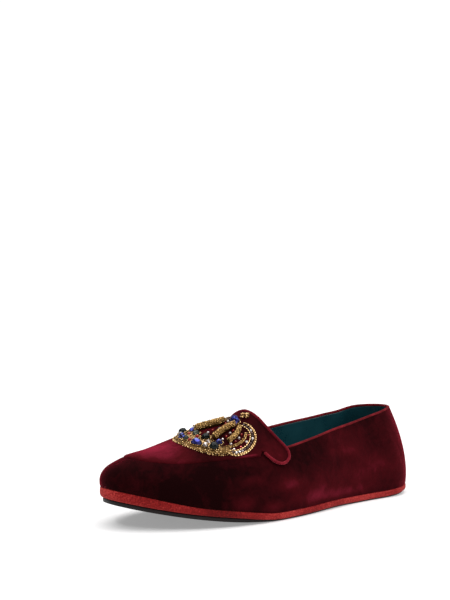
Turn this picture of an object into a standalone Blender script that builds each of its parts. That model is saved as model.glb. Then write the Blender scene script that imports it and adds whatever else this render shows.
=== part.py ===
"""Velvet dress slipper, left shoe: wrapped sole, hollow upper on a true last, apron with ears, beaded crown.

Lengths are millimetres until a mesh is made. The shoe points its toe towards -Y, its outer side is +X and the
floor is z = 0. A place on the last is a station s along the foot from the heel back, a side (+1 outer, -1 inner)
and v, which runs up a section from the feather edge (0) to the top centre line (1).
"""

import math

import bmesh
import bpy
import numpy as np
from mathutils.bvhtree import BVHTree

MM = 0.001

# Driving dimensions
LENGTH = 283.0
GAP = 0.3
OUTSOLE_REAR = 1.1
OUTSOLE_FRONT = 3.2
OUTSOLE_TAPER = (165.0, 212.0)
BAND_REAR = 4.8
BAND_FRONT = 6.9
BAND_TAPER = (225.0, 275.0)
WALL = 2.0
APRON_THICK = 0.9
INSOLE_THICK = 3.0
TOE_SPRING = 18.0
SPRING_START = 163.0
SPRING_POWER = 1.68
ARCH_RISE = 0.4
ARCH_RUN = (76.0, 104.0, 108.0, 138.0)
HEEL_SPRING = 2.0
HEEL_LIFT = 46.0
HEEL_ROUND = 32.0
HEEL_POWER = 2.3
TOE_ROUND = 48.0
TOE_POWER = 2.2
HEEL_CENTRE = 48.0
TOE_CENTRE = 248.0
JUNCTION = 157.0

# Feather outline: share of length, outer half width, inner half width, centre line x
FEATHER = [
    (0.00, 26.0, 26.0, 0.0),
    (0.10, 30.5, 30.5, 0.0),
    (0.18, 31.0, 31.0, 0.0),
    (0.30, 33.5, 29.5, 0.0),
    (0.42, 40.0, 28.5, 0.0),
    (0.54, 45.5, 34.0, 0.0),
    (0.65, 47.0, 41.5, 0.0),
    (0.73, 45.5, 44.5, -0.5),
    (0.82, 40.5, 43.0, -2.0),
    (0.90, 34.0, 37.5, -4.0),
    (1.00, 27.0, 31.0, -6.0),
]

# Last sections: share of length, height of the top centre line, side bulge, rise share, reach share
RIDGE = [
    (0.10, 114.0, 6.5, 0.42, 0.28),
    (0.25, 110.7, 6.0, 0.42, 0.30),
    (0.36, 103.1, 5.0, 0.42, 0.40),
    (0.45, 89.5, 5.0, 0.46, 0.50),
    (0.54, 79.3, 5.0, 0.52, 0.55),
    (0.63, 68.4, 5.5, 0.55, 0.58),
    (0.73, 61.2, 5.5, 0.58, 0.60),
    (0.82, 53.3, 4.3, 0.63, 0.62),
    (0.90, 49.3, 3.3, 0.70, 0.64),
]

# Collar edge: share of length, height on the outer side, height on the inner side
TOPLINE = [
    (0.00, 72.2, 72.2),
    (0.06, 70.9, 71.0),
    (0.13, 67.8, 67.2),
    (0.19, 65.0, 65.3),
    (0.26, 61.9, 63.1),
    (0.34, 58.9, 61.0),
    (0.43, 55.0, 58.0),
    (0.50, 52.3, 53.6),
    (0.55, 50.5, 50.5),
]

# Throat edge of the vamp: v, station
THROAT = [
    (0.28, 155.0),
    (0.376, 155.2),
    (0.432, 157.3),
    (0.54, 162.5),
    (0.64, 165.2),
    (0.83, 165.8),
    (1.00, 165.0),
]

# Lower edge of the apron, ear first: share of length, v
APRON_EDGE = [
    (0.548, 0.402),
    (0.554, 0.370),
    (0.563, 0.350),
    (0.576, 0.342),
    (0.588, 0.349),
    (0.599, 0.366),
    (0.608, 0.397),
    (0.613, 0.430),
    (0.617, 0.468),
    (0.632, 0.447),
    (0.660, 0.446),
    (0.715, 0.454),
    (0.796, 0.472),
    (0.866, 0.508),
    (0.922, 0.560),
    (0.966, 0.628),
    (0.988, 0.685),
    (1.000, 0.710),
]


def table(rows, column, at):
    """One column of a table at any place: a cubic between rows, with slopes from the rows on either side."""
    rows = np.asarray(rows, float)
    x, y = rows[:, 0], rows[:, column]
    step = np.diff(x)
    rise = np.diff(y) / step
    slope = np.concatenate([rise[:1],
                            (rise[:-1] * step[1:] + rise[1:] * step[:-1]) / (step[:-1] + step[1:]),
                            rise[-1:]])
    at = np.clip(np.asarray(at, float), x[0], x[-1])
    i = np.clip(np.searchsorted(x, at) - 1, 0, len(step) - 1)
    t = (at - x[i]) / step[i]
    return ((2 * t**3 - 3 * t**2 + 1) * y[i] + (t**3 - 2 * t**2 + t) * step[i] * slope[i]
            + (3 * t**2 - 2 * t**3) * y[i + 1] + (t**3 - t**2) * step[i] * slope[i + 1])


def ease(t):
    """Smooth step from 0 to 1."""
    t = np.clip(t, 0.0, 1.0)
    return t * t * (3 - 2 * t)


def ground(s):
    """Underside of the sole at a station: heel worn up at the back, flat seat, slight arch, flat ball, toe spring."""
    share = np.clip((s - SPRING_START) / (LENGTH - SPRING_START), 0, 1)
    rise = ease((s - ARCH_RUN[0]) / (ARCH_RUN[1] - ARCH_RUN[0]))
    fall = ease((s - ARCH_RUN[2]) / (ARCH_RUN[3] - ARCH_RUN[2]))
    heel = HEEL_SPRING * ease((HEEL_LIFT - s) / HEEL_LIFT)
    return TOE_SPRING * share**SPRING_POWER + ARCH_RISE * rise * (1 - fall) + heel


def band_foot(s):
    """Height where the wrapped band meets the black outsole, which is thicker under the forefoot."""
    front = ease((s - OUTSOLE_TAPER[0]) / (OUTSOLE_TAPER[1] - OUTSOLE_TAPER[0]))
    return ground(s) + OUTSOLE_REAR + (OUTSOLE_FRONT - OUTSOLE_REAR) * front


def feather_height(s):
    """Height of the edge where the upper meets the wrapped band, which is taller at the toe."""
    front = ease((s - BAND_TAPER[0]) / (BAND_TAPER[1] - BAND_TAPER[0]))
    return band_foot(s) + BAND_REAR + (BAND_FRONT - BAND_REAR) * front


def outline(s, side):
    """x of the feather edge: half width from the table, rounded off at heel and toe like a superellipse."""
    heel = np.clip((HEEL_ROUND - s) / HEEL_ROUND, 0, 1)
    toe = np.clip((s - (LENGTH - TOE_ROUND)) / TOE_ROUND, 0, 1)
    ends = (1 - heel**HEEL_POWER)**(1 / HEEL_POWER) * (1 - toe**TOE_POWER)**(1 / TOE_POWER)
    share = s / LENGTH
    half = np.where(side > 0, table(FEATHER, 1, share), table(FEATHER, 2, share))
    return table(FEATHER, 3, share) + side * half * ends


def last(s, side, v):
    """Outer face of the upper: a cubic in the upright plane from the feather point to the spine point.

    The spine runs down the middle of the last, shorter than the foot, so sections fan out at heel and toe. The
    third control point keeps the ridge's own slope, so both sides meet smoothly on the centre line.
    """
    s, side, v = np.broadcast_arrays(np.asarray(s, float), np.asarray(side, float), np.asarray(v, float))
    spine = HEEL_CENTRE + (TOE_CENTRE - HEEL_CENTRE) * s / LENGTH
    share = spine / LENGTH
    centre = table(FEATHER, 3, share)
    top, bulge, rise, reach = (table(RIDGE, column, share) for column in (1, 2, 3, 4))
    step = 0.001
    slope = (table(RIDGE, 1, share + step) - table(RIDGE, 1, share - step)) / (2 * step * LENGTH)
    foot = feather_height(s) + GAP
    across, ahead = outline(s, side) - centre, s - spine
    reach_out = np.hypot(across, ahead)
    across, ahead = across / reach_out, ahead / reach_out
    weights = ((1 - v)**3, 3 * v * (1 - v)**2, 3 * v * v * (1 - v), v**3)
    radii = (reach_out, reach_out + bulge, reach * reach_out, 0 * reach_out)
    heights = (foot, foot + rise * (top - foot), top + slope * ahead * reach * reach_out, top)
    radius = sum(w * r for w, r in zip(weights, radii))
    height = sum(w * h for w, h in zip(weights, heights))
    return np.stack([centre + across * radius, spine + ahead * radius, height], -1)


def last_normal(s, side, v):
    """Outward unit normal of the last, from small steps in s and v, and from the ridge's slope on the ridge."""
    ds, dv = 0.05, 0.002
    s, side, v = np.broadcast_arrays(np.asarray(s, float), np.asarray(side, float), np.asarray(v, float))
    s0, s1 = np.clip(s - ds, 0.0, LENGTH), np.clip(s + ds, 0.0, LENGTH)
    v0, v1 = np.clip(v - dv, 0.0, 1.0 - dv), np.clip(v + dv, dv, 1.0)
    along = last(s1, side, v) - last(s0, side, v)
    up = last(s, side, v1) - last(s, side, v0)
    normal = np.cross(along, up) * side[..., None]
    ridge = last(s1, side, 1.0) - last(s0, side, 1.0)
    ridge = np.stack([0 * s, -ridge[..., 2], ridge[..., 1]], -1)
    normal = np.where((v > 1 - dv)[..., None], ridge, normal)
    return normal / np.linalg.norm(normal, axis=-1, keepdims=True)


def collar_v(s, side):
    """v at which a section reaches the collar's height, by halving."""
    height = np.where(side > 0, table(TOPLINE, 1, s / LENGTH), table(TOPLINE, 2, s / LENGTH))
    low, high = np.zeros_like(s), np.ones_like(s)
    for _ in range(40):
        middle = (low + high) / 2
        under = last(s, side, middle)[..., 2] < height
        low = np.where(under, middle, low)
        high = np.where(under, high, middle)
    return low


# The shoe stands with the middle of its box over the origin: the lower walls are its widest and longest part
WALL_STATIONS = np.linspace(0.0, LENGTH, 241)[:, None]
WALL_HEIGHTS = np.linspace(0.0, 0.33, 81)[None, :]
OUTER_WALL = last(WALL_STATIONS, 1, WALL_HEIGHTS)
INNER_WALL = last(WALL_STATIONS, -1, WALL_HEIGHTS)
MID_X = (OUTER_WALL[..., 0].max() + INNER_WALL[..., 0].min()) / 2
MID_ALONG = (OUTER_WALL[..., 1].max() + OUTER_WALL[..., 1].min()) / 2


def world(point):
    """Metres in the part's frame from x, distance along the foot and height in millimetres."""
    x, along, height = np.moveaxis(np.asarray(point, float), -1, 0)
    return np.stack([x - MID_X, MID_ALONG - along, height], -1) * MM


def material(name, colour, roughness, metallic=0.0):
    """Principled material with one colour."""
    made = bpy.data.materials.new(name)
    made.use_nodes = True
    shader = made.node_tree.nodes["Principled BSDF"]
    shader.inputs["Base Color"].default_value = (*colour, 1.0)
    shader.inputs["Roughness"].default_value = roughness
    shader.inputs["Metallic"].default_value = metallic
    return made


def add_object(name, vertices, faces, look):
    """Mesh object from points in metres, with its doubles merged and smooth shading."""
    mesh = bpy.data.meshes.new(name)
    mesh.from_pydata([tuple(p) for p in vertices], [], faces)
    shape = bmesh.new()
    shape.from_mesh(mesh)
    bmesh.ops.remove_doubles(shape, verts=shape.verts, dist=0.00001)
    shape.to_mesh(mesh)
    shape.free()
    mesh.materials.append(look)
    mesh.shade_smooth()
    made = bpy.data.objects.new(name, mesh)
    bpy.context.collection.objects.link(made)
    return made


def grid_faces(columns, rows, start=0, turn=False):
    """Quads of a grid stored column by column, facing +X when columns run towards the toe and rows run up."""
    i, j = np.meshgrid(np.arange(columns - 1), np.arange(rows - 1), indexing="ij")
    a = start + (i * rows + j).ravel()
    quads = np.stack([a, a + 1, a + rows + 1, a + rows], -1)
    return (quads[:, ::-1] if turn else quads).tolist()


def patches(grids):
    """Points and faces of several grids, each given as columns by rows of points and whether it is turned."""
    points, faces = [], []
    for grid, turn in grids:
        faces += grid_faces(grid.shape[0], grid.shape[1], sum(len(p) for p in points), turn)
        points.append(world(grid).reshape(-1, 3))
    return np.concatenate(points), faces


def thicken(made, thick, offset):
    """Gives a surface its thickness, inwards for offset -1 and outwards for +1."""
    wall = made.modifiers.new("wall", "SOLIDIFY")
    wall.thickness = thick * MM
    wall.offset = offset
    wall.use_even_offset = True
    wall.use_rim = True


def slab(name, look, low, high, rings):
    """Closed solid from rings round the foot, lowest first: an inset, and a share of the way from low to high.

    Low and high are heights at a station. A ring has the same stations on both sides, so the top and bottom are
    strips from one side to the other.
    """
    turn = np.linspace(0.0, math.pi, SOLE_STATIONS)
    s = LENGTH * (1 - np.cos(turn)) / 2
    s = np.concatenate([s, s[-2:0:-1]])
    side = np.where(np.arange(len(s)) < SOLE_STATIONS, 1.0, -1.0)
    edge = np.stack([outline(s, side), s], -1)
    along = np.roll(edge, -1, 0) - np.roll(edge, 1, 0)
    out = np.stack([along[:, 1], -along[:, 0]], -1)
    out /= np.linalg.norm(out, axis=-1, keepdims=True)
    count = len(s)
    points, faces = [], []
    for inset, share in rings:
        place = edge - inset * out
        station = np.clip(place[:, 1], 0, LENGTH)
        points.append(np.column_stack([place, low(station) * (1 - share) + high(station) * share]))
    for ring in range(len(rings) - 1):
        for k in range(count):
            a, b = ring * count + k, ring * count + (k + 1) % count
            faces.append((a, a + count, b + count, b))
    for first, lid in ((0, False), ((len(rings) - 1) * count, True)):
        for k in range(SOLE_STATIONS - 1):
            strip = (first + k, first + k + 1, first + (count - k - 1) % count, first + (count - k) % count)
            strip = tuple(dict.fromkeys(strip))
            faces.append(strip[::-1] if lid else strip)
    return add_object(name, world(np.concatenate(points)), faces, look)


def bead(name, look, path, normal, width, height, sides=8, lift=GAP):
    """Closed flattened cord along a path on a surface, standing on it by its normal."""
    tangent = np.gradient(path, axis=0)
    tangent /= np.linalg.norm(tangent, axis=-1, keepdims=True)
    beside = np.cross(tangent, normal)
    beside /= np.linalg.norm(beside, axis=-1, keepdims=True)
    angle = np.linspace(0, 2 * math.pi, sides, endpoint=False)
    ring = (path[:, None] + beside[:, None] * (width / 2 * np.cos(angle))[None, :, None]
            + normal[:, None] * (lift + height / 2 * (1 + np.sin(angle)))[None, :, None])
    count = len(path)
    faces = []
    for i in range(count - 1):
        for k in range(sides):
            a, b = i * sides + k, i * sides + (k + 1) % sides
            faces.append((a, b, b + sides, a + sides))
    faces.append(tuple(range(sides))[::-1])
    faces.append(tuple(range((count - 1) * sides, count * sides)))
    return add_object(name, world(ring.reshape(-1, 3)), faces, look)


# Materials, with colours read from the photograph by eye
VELVET = ((0.10, 0.006, 0.014), 0.85)
SUEDE = ((0.42, 0.03, 0.03), 0.9)
RIBBON = ((0.26, 0.016, 0.03), 0.7)
TEAL = ((0.008, 0.035, 0.042), 0.5)
BLACK = ((0.012, 0.011, 0.011), 0.6)
GOLD = ((0.42, 0.27, 0.09), 0.4)
STONE_COLOURS = {
    "blue": (0.02, 0.03, 0.35),
    "green": (0.01, 0.04, 0.04),
    "grey": (0.12, 0.15, 0.13),
    "red": (0.45, 0.03, 0.03),
    "clear": (0.6, 0.55, 0.5),
}

for old in list(bpy.data.objects):
    bpy.data.objects.remove(old, do_unlink=True)

velvet = material("velvet", *VELVET)
suede = material("suede", *SUEDE)
ribbon = material("ribbon", *RIBBON)
teal = material("lining_leather", *TEAL)
black = material("sole_black", *BLACK)
gold = material("gold_bead", *GOLD, 0.9)
stones = {name: material("stone_" + name, colour, 0.15) for name, colour in STONE_COLOURS.items()}

# Sole: black outsole, suede-wrapped body and the insole that lies on it inside the upper
SOLE_STATIONS = 41
OUTSOLE_INSET = 2.0
OUTSOLE_ROUND = 0.8
BAND_ROUND = 1.0
BAND_PROUD = 0.3
INSOLE_INSET = WALL + 1.0
INSOLE_ROUND = 1.0


def outsole_top(s):
    """Upper face of the outsole, a gap under the band."""
    return band_foot(s) - GAP


def insole_floor(s):
    """Lower face of the insole, a gap over the band."""
    return feather_height(s) + GAP


def insole_top(s):
    """Upper face of the insole."""
    return insole_floor(s) + INSOLE_THICK


slab("outsole", black, ground, outsole_top, [
    (OUTSOLE_INSET + OUTSOLE_ROUND, 0.0),
    (OUTSOLE_INSET, 0.35),
    (OUTSOLE_INSET, 1.0),
])
slab("sole_band", suede, band_foot, feather_height, [
    (2 * BAND_ROUND, 0.0),
    (0.0, 0.3),
    (-BAND_PROUD, 0.55),
    (0.0, 0.85),
    (BAND_ROUND, 1.0),
])
slab("insole", teal, insole_floor, insole_top, [
    (INSOLE_INSET, 0.0),
    (INSOLE_INSET, 1 - INSOLE_ROUND / INSOLE_THICK),
    (INSOLE_INSET + INSOLE_ROUND, 1.0),
])

# Upper: quarters from the heel to the throat and the vamp from there to the toe, one wall
QUARTER_COLUMNS = 16
VAMP_COLUMNS = 18
LOWER_ROWS = 8
UPPER_ROWS = 6


def throat_station(v, from_v):
    """Station of the upper's throat edge at v, held at the junction below the collar."""
    lead = table(THROAT, 1, v) - table(THROAT, 1, from_v)
    return JUNCTION + np.where(v > from_v, lead, 0.0)


def quarter_grid(side):
    """Columns from heel to junction, rows from the feather edge to the collar."""
    s = JUNCTION * (1 - np.cos(np.linspace(0, math.pi / 2, QUARTER_COLUMNS)))
    top = collar_v(s, np.full_like(s, side))
    v = top[:, None] * np.linspace(0, 1, LOWER_ROWS + 1)[None, :]
    return last(s[:, None], side, v)


def vamp_grid(side):
    """Columns from the throat edge to the toe, rows from the feather edge to the top centre line."""
    at = collar_v(np.array([JUNCTION]), np.array([float(side)]))[0]
    v = np.concatenate([at * np.linspace(0, 1, LOWER_ROWS + 1),
                        at + (1 - at) * np.linspace(0, 1, UPPER_ROWS + 1)[1:]])
    share = np.sin(np.linspace(0, math.pi / 2, VAMP_COLUMNS))
    start = throat_station(v, at)
    s = start[None, :] + (LENGTH - start[None, :]) * share[:, None]
    return last(s, side, v[None, :])


upper = add_object("upper", *patches([
    (quarter_grid(1), False),
    (vamp_grid(1), False),
    (quarter_grid(-1), True),
    (vamp_grid(-1), True),
]), velvet)
thicken(upper, WALL, -1.0)

# Apron: raised piece over the top of the foot, one ear on each side at the throat
APRON_LIFT = 0.55
EAR_BACK = 0.548
EAR_FRONT = 0.617
EAR_SHARE = (EAR_FRONT - EAR_BACK) / (1 - EAR_BACK)
EAR_COLUMNS = 10
APRON_COLUMNS = 14
APRON_ROWS = 7


def apron_place(share, row):
    """Station and v on the apron: share runs from the throat edge to the toe, row from the lower edge up."""
    base = table(THROAT, 1, 0.0)
    low = table(APRON_EDGE, 1, (base + (LENGTH - base) * share) / LENGTH)
    v = low + (1 - low) * row
    start = table(THROAT, 1, v)
    return start + (LENGTH - start) * share, v


def apron_grid(side, lift, finer=1):
    """Columns from the throat edge to the toe, closer together across the ear, at a height above the last."""
    ear = np.linspace(0, EAR_SHARE, EAR_COLUMNS * finer)
    rest = EAR_SHARE + (1 - EAR_SHARE) * np.sin(np.linspace(0, math.pi / 2, APRON_COLUMNS * finer))
    share = np.concatenate([ear, rest[1:]])
    s, v = apron_place(share[:, None], np.linspace(0, 1, APRON_ROWS * finer)[None, :])
    return last(s, side, v) + lift * last_normal(s, side, v)


def apron_surface(lift, finer=1):
    """Both halves of the apron as patches at a height above the last."""
    return patches([(apron_grid(1, lift, finer), False), (apron_grid(-1, lift, finer), True)])


apron = add_object("apron", *apron_surface(APRON_LIFT), velvet)
thicken(apron, APRON_THICK, 1.0)

# Red cord along the throat edge and round both ears, from one ear's hook to the other's
PIPING = 2.2
EAR_POINTS = 12
THROAT_POINTS = 12


def apron_border(side):
    """Stations and v along the apron's free edge, from the ear's hook round the ear and up to the centre."""
    ear_s, ear_v = apron_place(np.linspace(EAR_SHARE, 0, EAR_POINTS), np.zeros(EAR_POINTS))
    edge_s, edge_v = apron_place(np.zeros(THROAT_POINTS), np.linspace(0, 1, THROAT_POINTS))
    s, v = np.concatenate([ear_s, edge_s[1:]]), np.concatenate([ear_v, edge_v[1:]])
    return last(s, side, v), last_normal(s, side, v)


outer_path, outer_normal = apron_border(1)
inner_path, inner_normal = apron_border(-1)
piping_path = np.concatenate([outer_path, inner_path[-2::-1]])
piping_normal = np.concatenate([outer_normal, inner_normal[-2::-1]])
run = np.gradient(piping_path, axis=0)
aside = np.cross(piping_normal, run)
aside /= np.linalg.norm(aside, axis=-1, keepdims=True)
piping_path = piping_path + aside * (PIPING / 2 + GAP)
bead("apron_piping", ribbon, piping_path, piping_normal, PIPING, PIPING, 8, APRON_LIFT)

# Ribbon binding rolled over the collar edge, from ear to ear round the heel
BINDING_WIDTH = 3.4
BINDING_HEIGHT = 3.0
BINDING_END = 151.0
BINDING_POINTS = 20


def collar_path(side):
    """Middle of the collar edge from the heel to the ear, with the direction up the wall."""
    s = BINDING_END * (1 - np.cos(np.linspace(0, math.pi / 2, BINDING_POINTS)))
    v = collar_v(s, np.full_like(s, side))
    up = last(s, side, v + 0.01) - last(s, side, v)
    up /= np.linalg.norm(up, axis=-1, keepdims=True)
    return last(s, side, v) - last_normal(s, side, v) * WALL / 2, up


outer_path, outer_up = collar_path(1)
inner_path, inner_up = collar_path(-1)
bead("topline_binding", ribbon, np.concatenate([outer_path[::-1], inner_path[1:]]),
     np.concatenate([outer_up[::-1], inner_up[1:]]), BINDING_WIDTH, BINDING_HEIGHT)

# Crown of gold bead work on the apron: places are millimetres across from its axis and along the foot
CROWN_AXIS = 8.0
BASE_ALONG = 199.5
BASE_HALF = 22.3
BASE_DEPTH = 22.8
BASE_POWER = 2.5
BASE_TRIM = 0.13
BASE_WIDTH = 10.0
BASE_HEIGHT = 1.8
BASE_POINTS = 29
RIB_WIDTH = 4.2
RIB_POINTS = 10
CROSS_PLACE = (0.8, 171.5)
CROSS_ARM = 3.6
CROSS_HALF = 1.3
CROSS_THICK = 2.6
ORB_PLACE = (0.5, 181.0)
ORB_SIZE = (7.6, 7.6, 5.8)
STONE_SIDES = 12
STONE_RINGS = (0, 35, 65)

# Curved ribs, one of each on both sides of the axis: name, height, start, two pull points, end
RIBS = [
    ("rib", 3.8, (11.8, 209.0), (9.5, 202.0), (5.2, 193.0), (6.0, 185.0)),
    ("side_rib", 3.4, (19.0, 201.5), (17.0, 196.5), (12.5, 190.5), (12.5, 184.8)),
    ("rim", 2.4, (26.3, 203.0), (29.5, 198.5), (26.9, 171.6), (7.2, 179.2)),
]

# Stones along the base: share of the base from the inner end, stone, size along, size across, height
STONES = [
    (0.080, "green", 6.4, 6.4, 3.6),
    (0.211, "clear", 4.0, 4.0, 2.4),
    (0.349, "blue", 7.6, 5.8, 3.4),
    (0.472, "grey", 5.2, 4.8, 2.8),
    (0.525, "red", 3.0, 3.0, 2.2),
    (0.637, "blue", 9.0, 6.2, 3.6),
    (0.784, "clear", 4.0, 4.0, 2.4),
    (0.916, "green", 6.6, 6.6, 3.8),
]

# Stones on the velvet between base and ribs: stone, across, along, size along, size across, height
VELVET_STONES = [
    ("green", 6.0, 211.5, 6.4, 6.4, 3.6),
    ("grey", -6.0, 211.5, 5.6, 5.2, 3.0),
]

apron_face = BVHTree.FromPolygons(*apron_surface(APRON_LIFT + APRON_THICK, 4))


def on_apron(across, along):
    """Points and normals on the apron's outer face under places of the crown, in millimetres of the foot."""
    points, normals = [], []
    for start in world(np.column_stack([CROWN_AXIS + across, along, np.full(len(along), 2 * LENGTH)])):
        place, normal, _, _ = apron_face.ray_cast(start.tolist(), (0.0, 0.0, -1.0))
        points.append((place.x / MM + MID_X, MID_ALONG - place.y / MM, place.z / MM))
        normals.append((normal.x, -normal.y, normal.z))
    return np.array(points), np.array(normals)


def base_path(share):
    """Places along the crown's base, from the inner end (0) to the outer (1): a superellipse's trimmed toe half."""
    angle = math.pi * (1 - BASE_TRIM - (1 - 2 * BASE_TRIM) * np.asarray(share, float))
    across = BASE_HALF * np.sign(np.cos(angle)) * np.abs(np.cos(angle))**(2 / BASE_POWER)
    return across, BASE_ALONG + BASE_DEPTH * np.sin(angle)**(2 / BASE_POWER)


def bend(points, count):
    """Places along a cubic from its four control points."""
    t = np.linspace(0, 1, count)[:, None]
    a, b, c, d = np.array(points, float)
    place = a * (1 - t)**3 + 3 * b * t * (1 - t)**2 + 3 * c * t * t * (1 - t) + d * t**3
    return place[:, 0], place[:, 1]


def dome(name, look, place, normal, ahead, size, lift):
    """Stone with a flat foot: rings of an ellipse that close in over a quarter turn."""
    length, width, height = size
    sides = STONE_SIDES
    ahead = ahead - normal * ahead.dot(normal)
    ahead /= np.linalg.norm(ahead)
    beside = np.cross(normal, ahead)
    turn = np.linspace(0, 2 * math.pi, sides, endpoint=False)
    points, faces = [], []
    for rise in np.radians(STONE_RINGS):
        flat = (ahead * (length / 2 * np.cos(turn))[:, None] + beside * (width / 2 * np.sin(turn))[:, None])
        points.append(place + flat * math.cos(rise) + normal * (lift + height * math.sin(rise)))
    points = np.concatenate(points + [(place + normal * (lift + height))[None]])
    last_ring = (len(STONE_RINGS) - 1) * sides
    for ring in range(0, last_ring, sides):
        for k in range(sides):
            a, b = ring + k, ring + (k + 1) % sides
            faces.append((a, a + sides, b + sides, b))
    faces += [(last_ring + k, last_ring + sides, last_ring + (k + 1) % sides) for k in range(sides)]
    faces.append(tuple(range(sides)))
    return add_object(name, world(points), faces, look)


base_share = np.linspace(0, 1, BASE_POINTS)
base_points, base_normals = on_apron(*base_path(base_share))
bead("crown_base", gold, base_points, base_normals, BASE_WIDTH, BASE_HEIGHT, 6)

for rib_name, rib_height, *rib_points in RIBS:
    for side_name, side in (("outer", 1), ("inner", -1)):
        across, along = bend(rib_points, RIB_POINTS)
        points, normals = on_apron(side * across, along)
        bead("_".join(["crown", rib_name, side_name]), gold, points, normals, RIB_WIDTH, rib_height, 6)

for number, (share, stone, *size) in enumerate(STONES, 1):
    around = np.clip(np.array([share - 0.01, share, share + 0.01]), 0, 1)
    points, normals = on_apron(*base_path(around))
    dome("crown_stone_%02d" % number, stones[stone], points[1], normals[1], points[2] - points[0], size,
         BASE_HEIGHT + 2 * GAP)

for number, (stone, across, along, *size) in enumerate(VELVET_STONES, len(STONES) + 1):
    point, normal = on_apron(np.array([across]), np.array([along]))
    dome("crown_stone_%02d" % number, stones[stone], point[0], normal[0], np.array([0.0, 1.0, 0.0]), size, GAP)

orb_point, orb_normal = on_apron(np.array([ORB_PLACE[0]]), np.array([ORB_PLACE[1]]))
dome("crown_orb", stones["blue"], orb_point[0], orb_normal[0], np.array([0.0, 1.0, 0.0]), ORB_SIZE, GAP)

# Cross at the top of the crown: a plus-shaped plate that stands on the apron
plus = np.array([(1, -3), (1, -1), (3, -1), (3, 1), (1, 1), (1, 3), (-1, 3), (-1, 1), (-3, 1), (-3, -1), (-1, -1),
                 (-1, -3)], float)
plus = np.where(np.abs(plus) == 3, np.sign(plus) * CROSS_ARM, plus * CROSS_HALF)
cross_point, cross_normal = on_apron(np.array([CROSS_PLACE[0]]), np.array([CROSS_PLACE[1]]))
cross_along = np.array([0.0, 1.0, 0.0]) - cross_normal[0] * cross_normal[0][1]
cross_along /= np.linalg.norm(cross_along)
cross_beside = np.cross(cross_along, cross_normal[0])
flat = cross_point[0] + plus[:, :1] * cross_beside + plus[:, 1:] * cross_along
cross_points = np.concatenate([flat + cross_normal[0] * height for height in (2 * GAP, 2 * GAP + CROSS_THICK)])
count = len(plus)
cross_faces = [(k, k + count, (k + 1) % count + count, (k + 1) % count) for k in range(count)]
cross_faces += [tuple(range(count)), tuple(range(count, 2 * count))[::-1]]
add_object("crown_cross", world(cross_points), cross_faces, gold)
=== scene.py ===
import math

import bmesh
import bpy
import numpy as np
from mathutils import Matrix

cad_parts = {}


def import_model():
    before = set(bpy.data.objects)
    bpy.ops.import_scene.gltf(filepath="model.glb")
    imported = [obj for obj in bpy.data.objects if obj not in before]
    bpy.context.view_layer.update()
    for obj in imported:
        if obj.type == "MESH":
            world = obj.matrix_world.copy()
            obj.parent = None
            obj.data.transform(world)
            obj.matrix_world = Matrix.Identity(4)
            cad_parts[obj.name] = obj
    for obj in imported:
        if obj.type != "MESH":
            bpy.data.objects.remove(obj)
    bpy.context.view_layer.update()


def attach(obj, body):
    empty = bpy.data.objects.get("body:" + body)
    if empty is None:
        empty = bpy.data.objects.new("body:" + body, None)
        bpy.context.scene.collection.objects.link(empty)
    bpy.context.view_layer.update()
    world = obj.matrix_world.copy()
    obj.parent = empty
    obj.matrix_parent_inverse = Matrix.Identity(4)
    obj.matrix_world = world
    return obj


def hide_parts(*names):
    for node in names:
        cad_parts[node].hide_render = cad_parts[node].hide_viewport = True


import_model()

# Insole: a teal leather sock over a 3 mm board, cut to the last's outline and laid inside the upper.
# The last itself is worked out here, in millimetres: a station s along the foot from the heel back,
# a side (+1 outer, -1 inner) and v, which runs up a section from the feather edge (0) to the top (1).
MM = 0.001
MERGE = 2e-7
LENGTH = 283.0
GAP = 0.3
OUTSOLE_REAR = 1.1
OUTSOLE_FRONT = 3.2
OUTSOLE_TAPER = (165.0, 212.0)
BAND_REAR = 4.8
BAND_FRONT = 6.9
BAND_TAPER = (225.0, 275.0)
WALL = 2.0
TOE_SPRING = 18.0
SPRING_START = 163.0
SPRING_POWER = 1.68
ARCH_RISE = 0.4
ARCH_RUN = (76.0, 104.0, 108.0, 138.0)
HEEL_SPRING = 2.0
HEEL_LIFT = 46.0
HEEL_ROUND = 32.0
HEEL_POWER = 2.3
TOE_ROUND = 48.0
TOE_POWER = 2.2
HEEL_CENTRE = 48.0
TOE_CENTRE = 248.0

# Feather outline: share of length, outer half width, inner half width, centre line x
FEATHER = [
    (0.00, 26.0, 26.0, 0.0),
    (0.10, 30.5, 30.5, 0.0),
    (0.18, 31.0, 31.0, 0.0),
    (0.30, 33.5, 29.5, 0.0),
    (0.42, 40.0, 28.5, 0.0),
    (0.54, 45.5, 34.0, 0.0),
    (0.65, 47.0, 41.5, 0.0),
    (0.73, 45.5, 44.5, -0.5),
    (0.82, 40.5, 43.0, -2.0),
    (0.90, 34.0, 37.5, -4.0),
    (1.00, 27.0, 31.0, -6.0),
]

# Last sections: share of length, height of the top centre line, side bulge, rise share, reach share
RIDGE = [
    (0.10, 114.0, 6.5, 0.42, 0.28),
    (0.25, 110.7, 6.0, 0.42, 0.30),
    (0.36, 103.1, 5.0, 0.42, 0.40),
    (0.45, 89.5, 5.0, 0.46, 0.50),
    (0.54, 79.3, 5.0, 0.52, 0.55),
    (0.63, 68.4, 5.5, 0.55, 0.58),
    (0.73, 61.2, 5.5, 0.58, 0.60),
    (0.82, 53.3, 4.3, 0.63, 0.62),
    (0.90, 49.3, 3.3, 0.70, 0.64),
]


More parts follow.
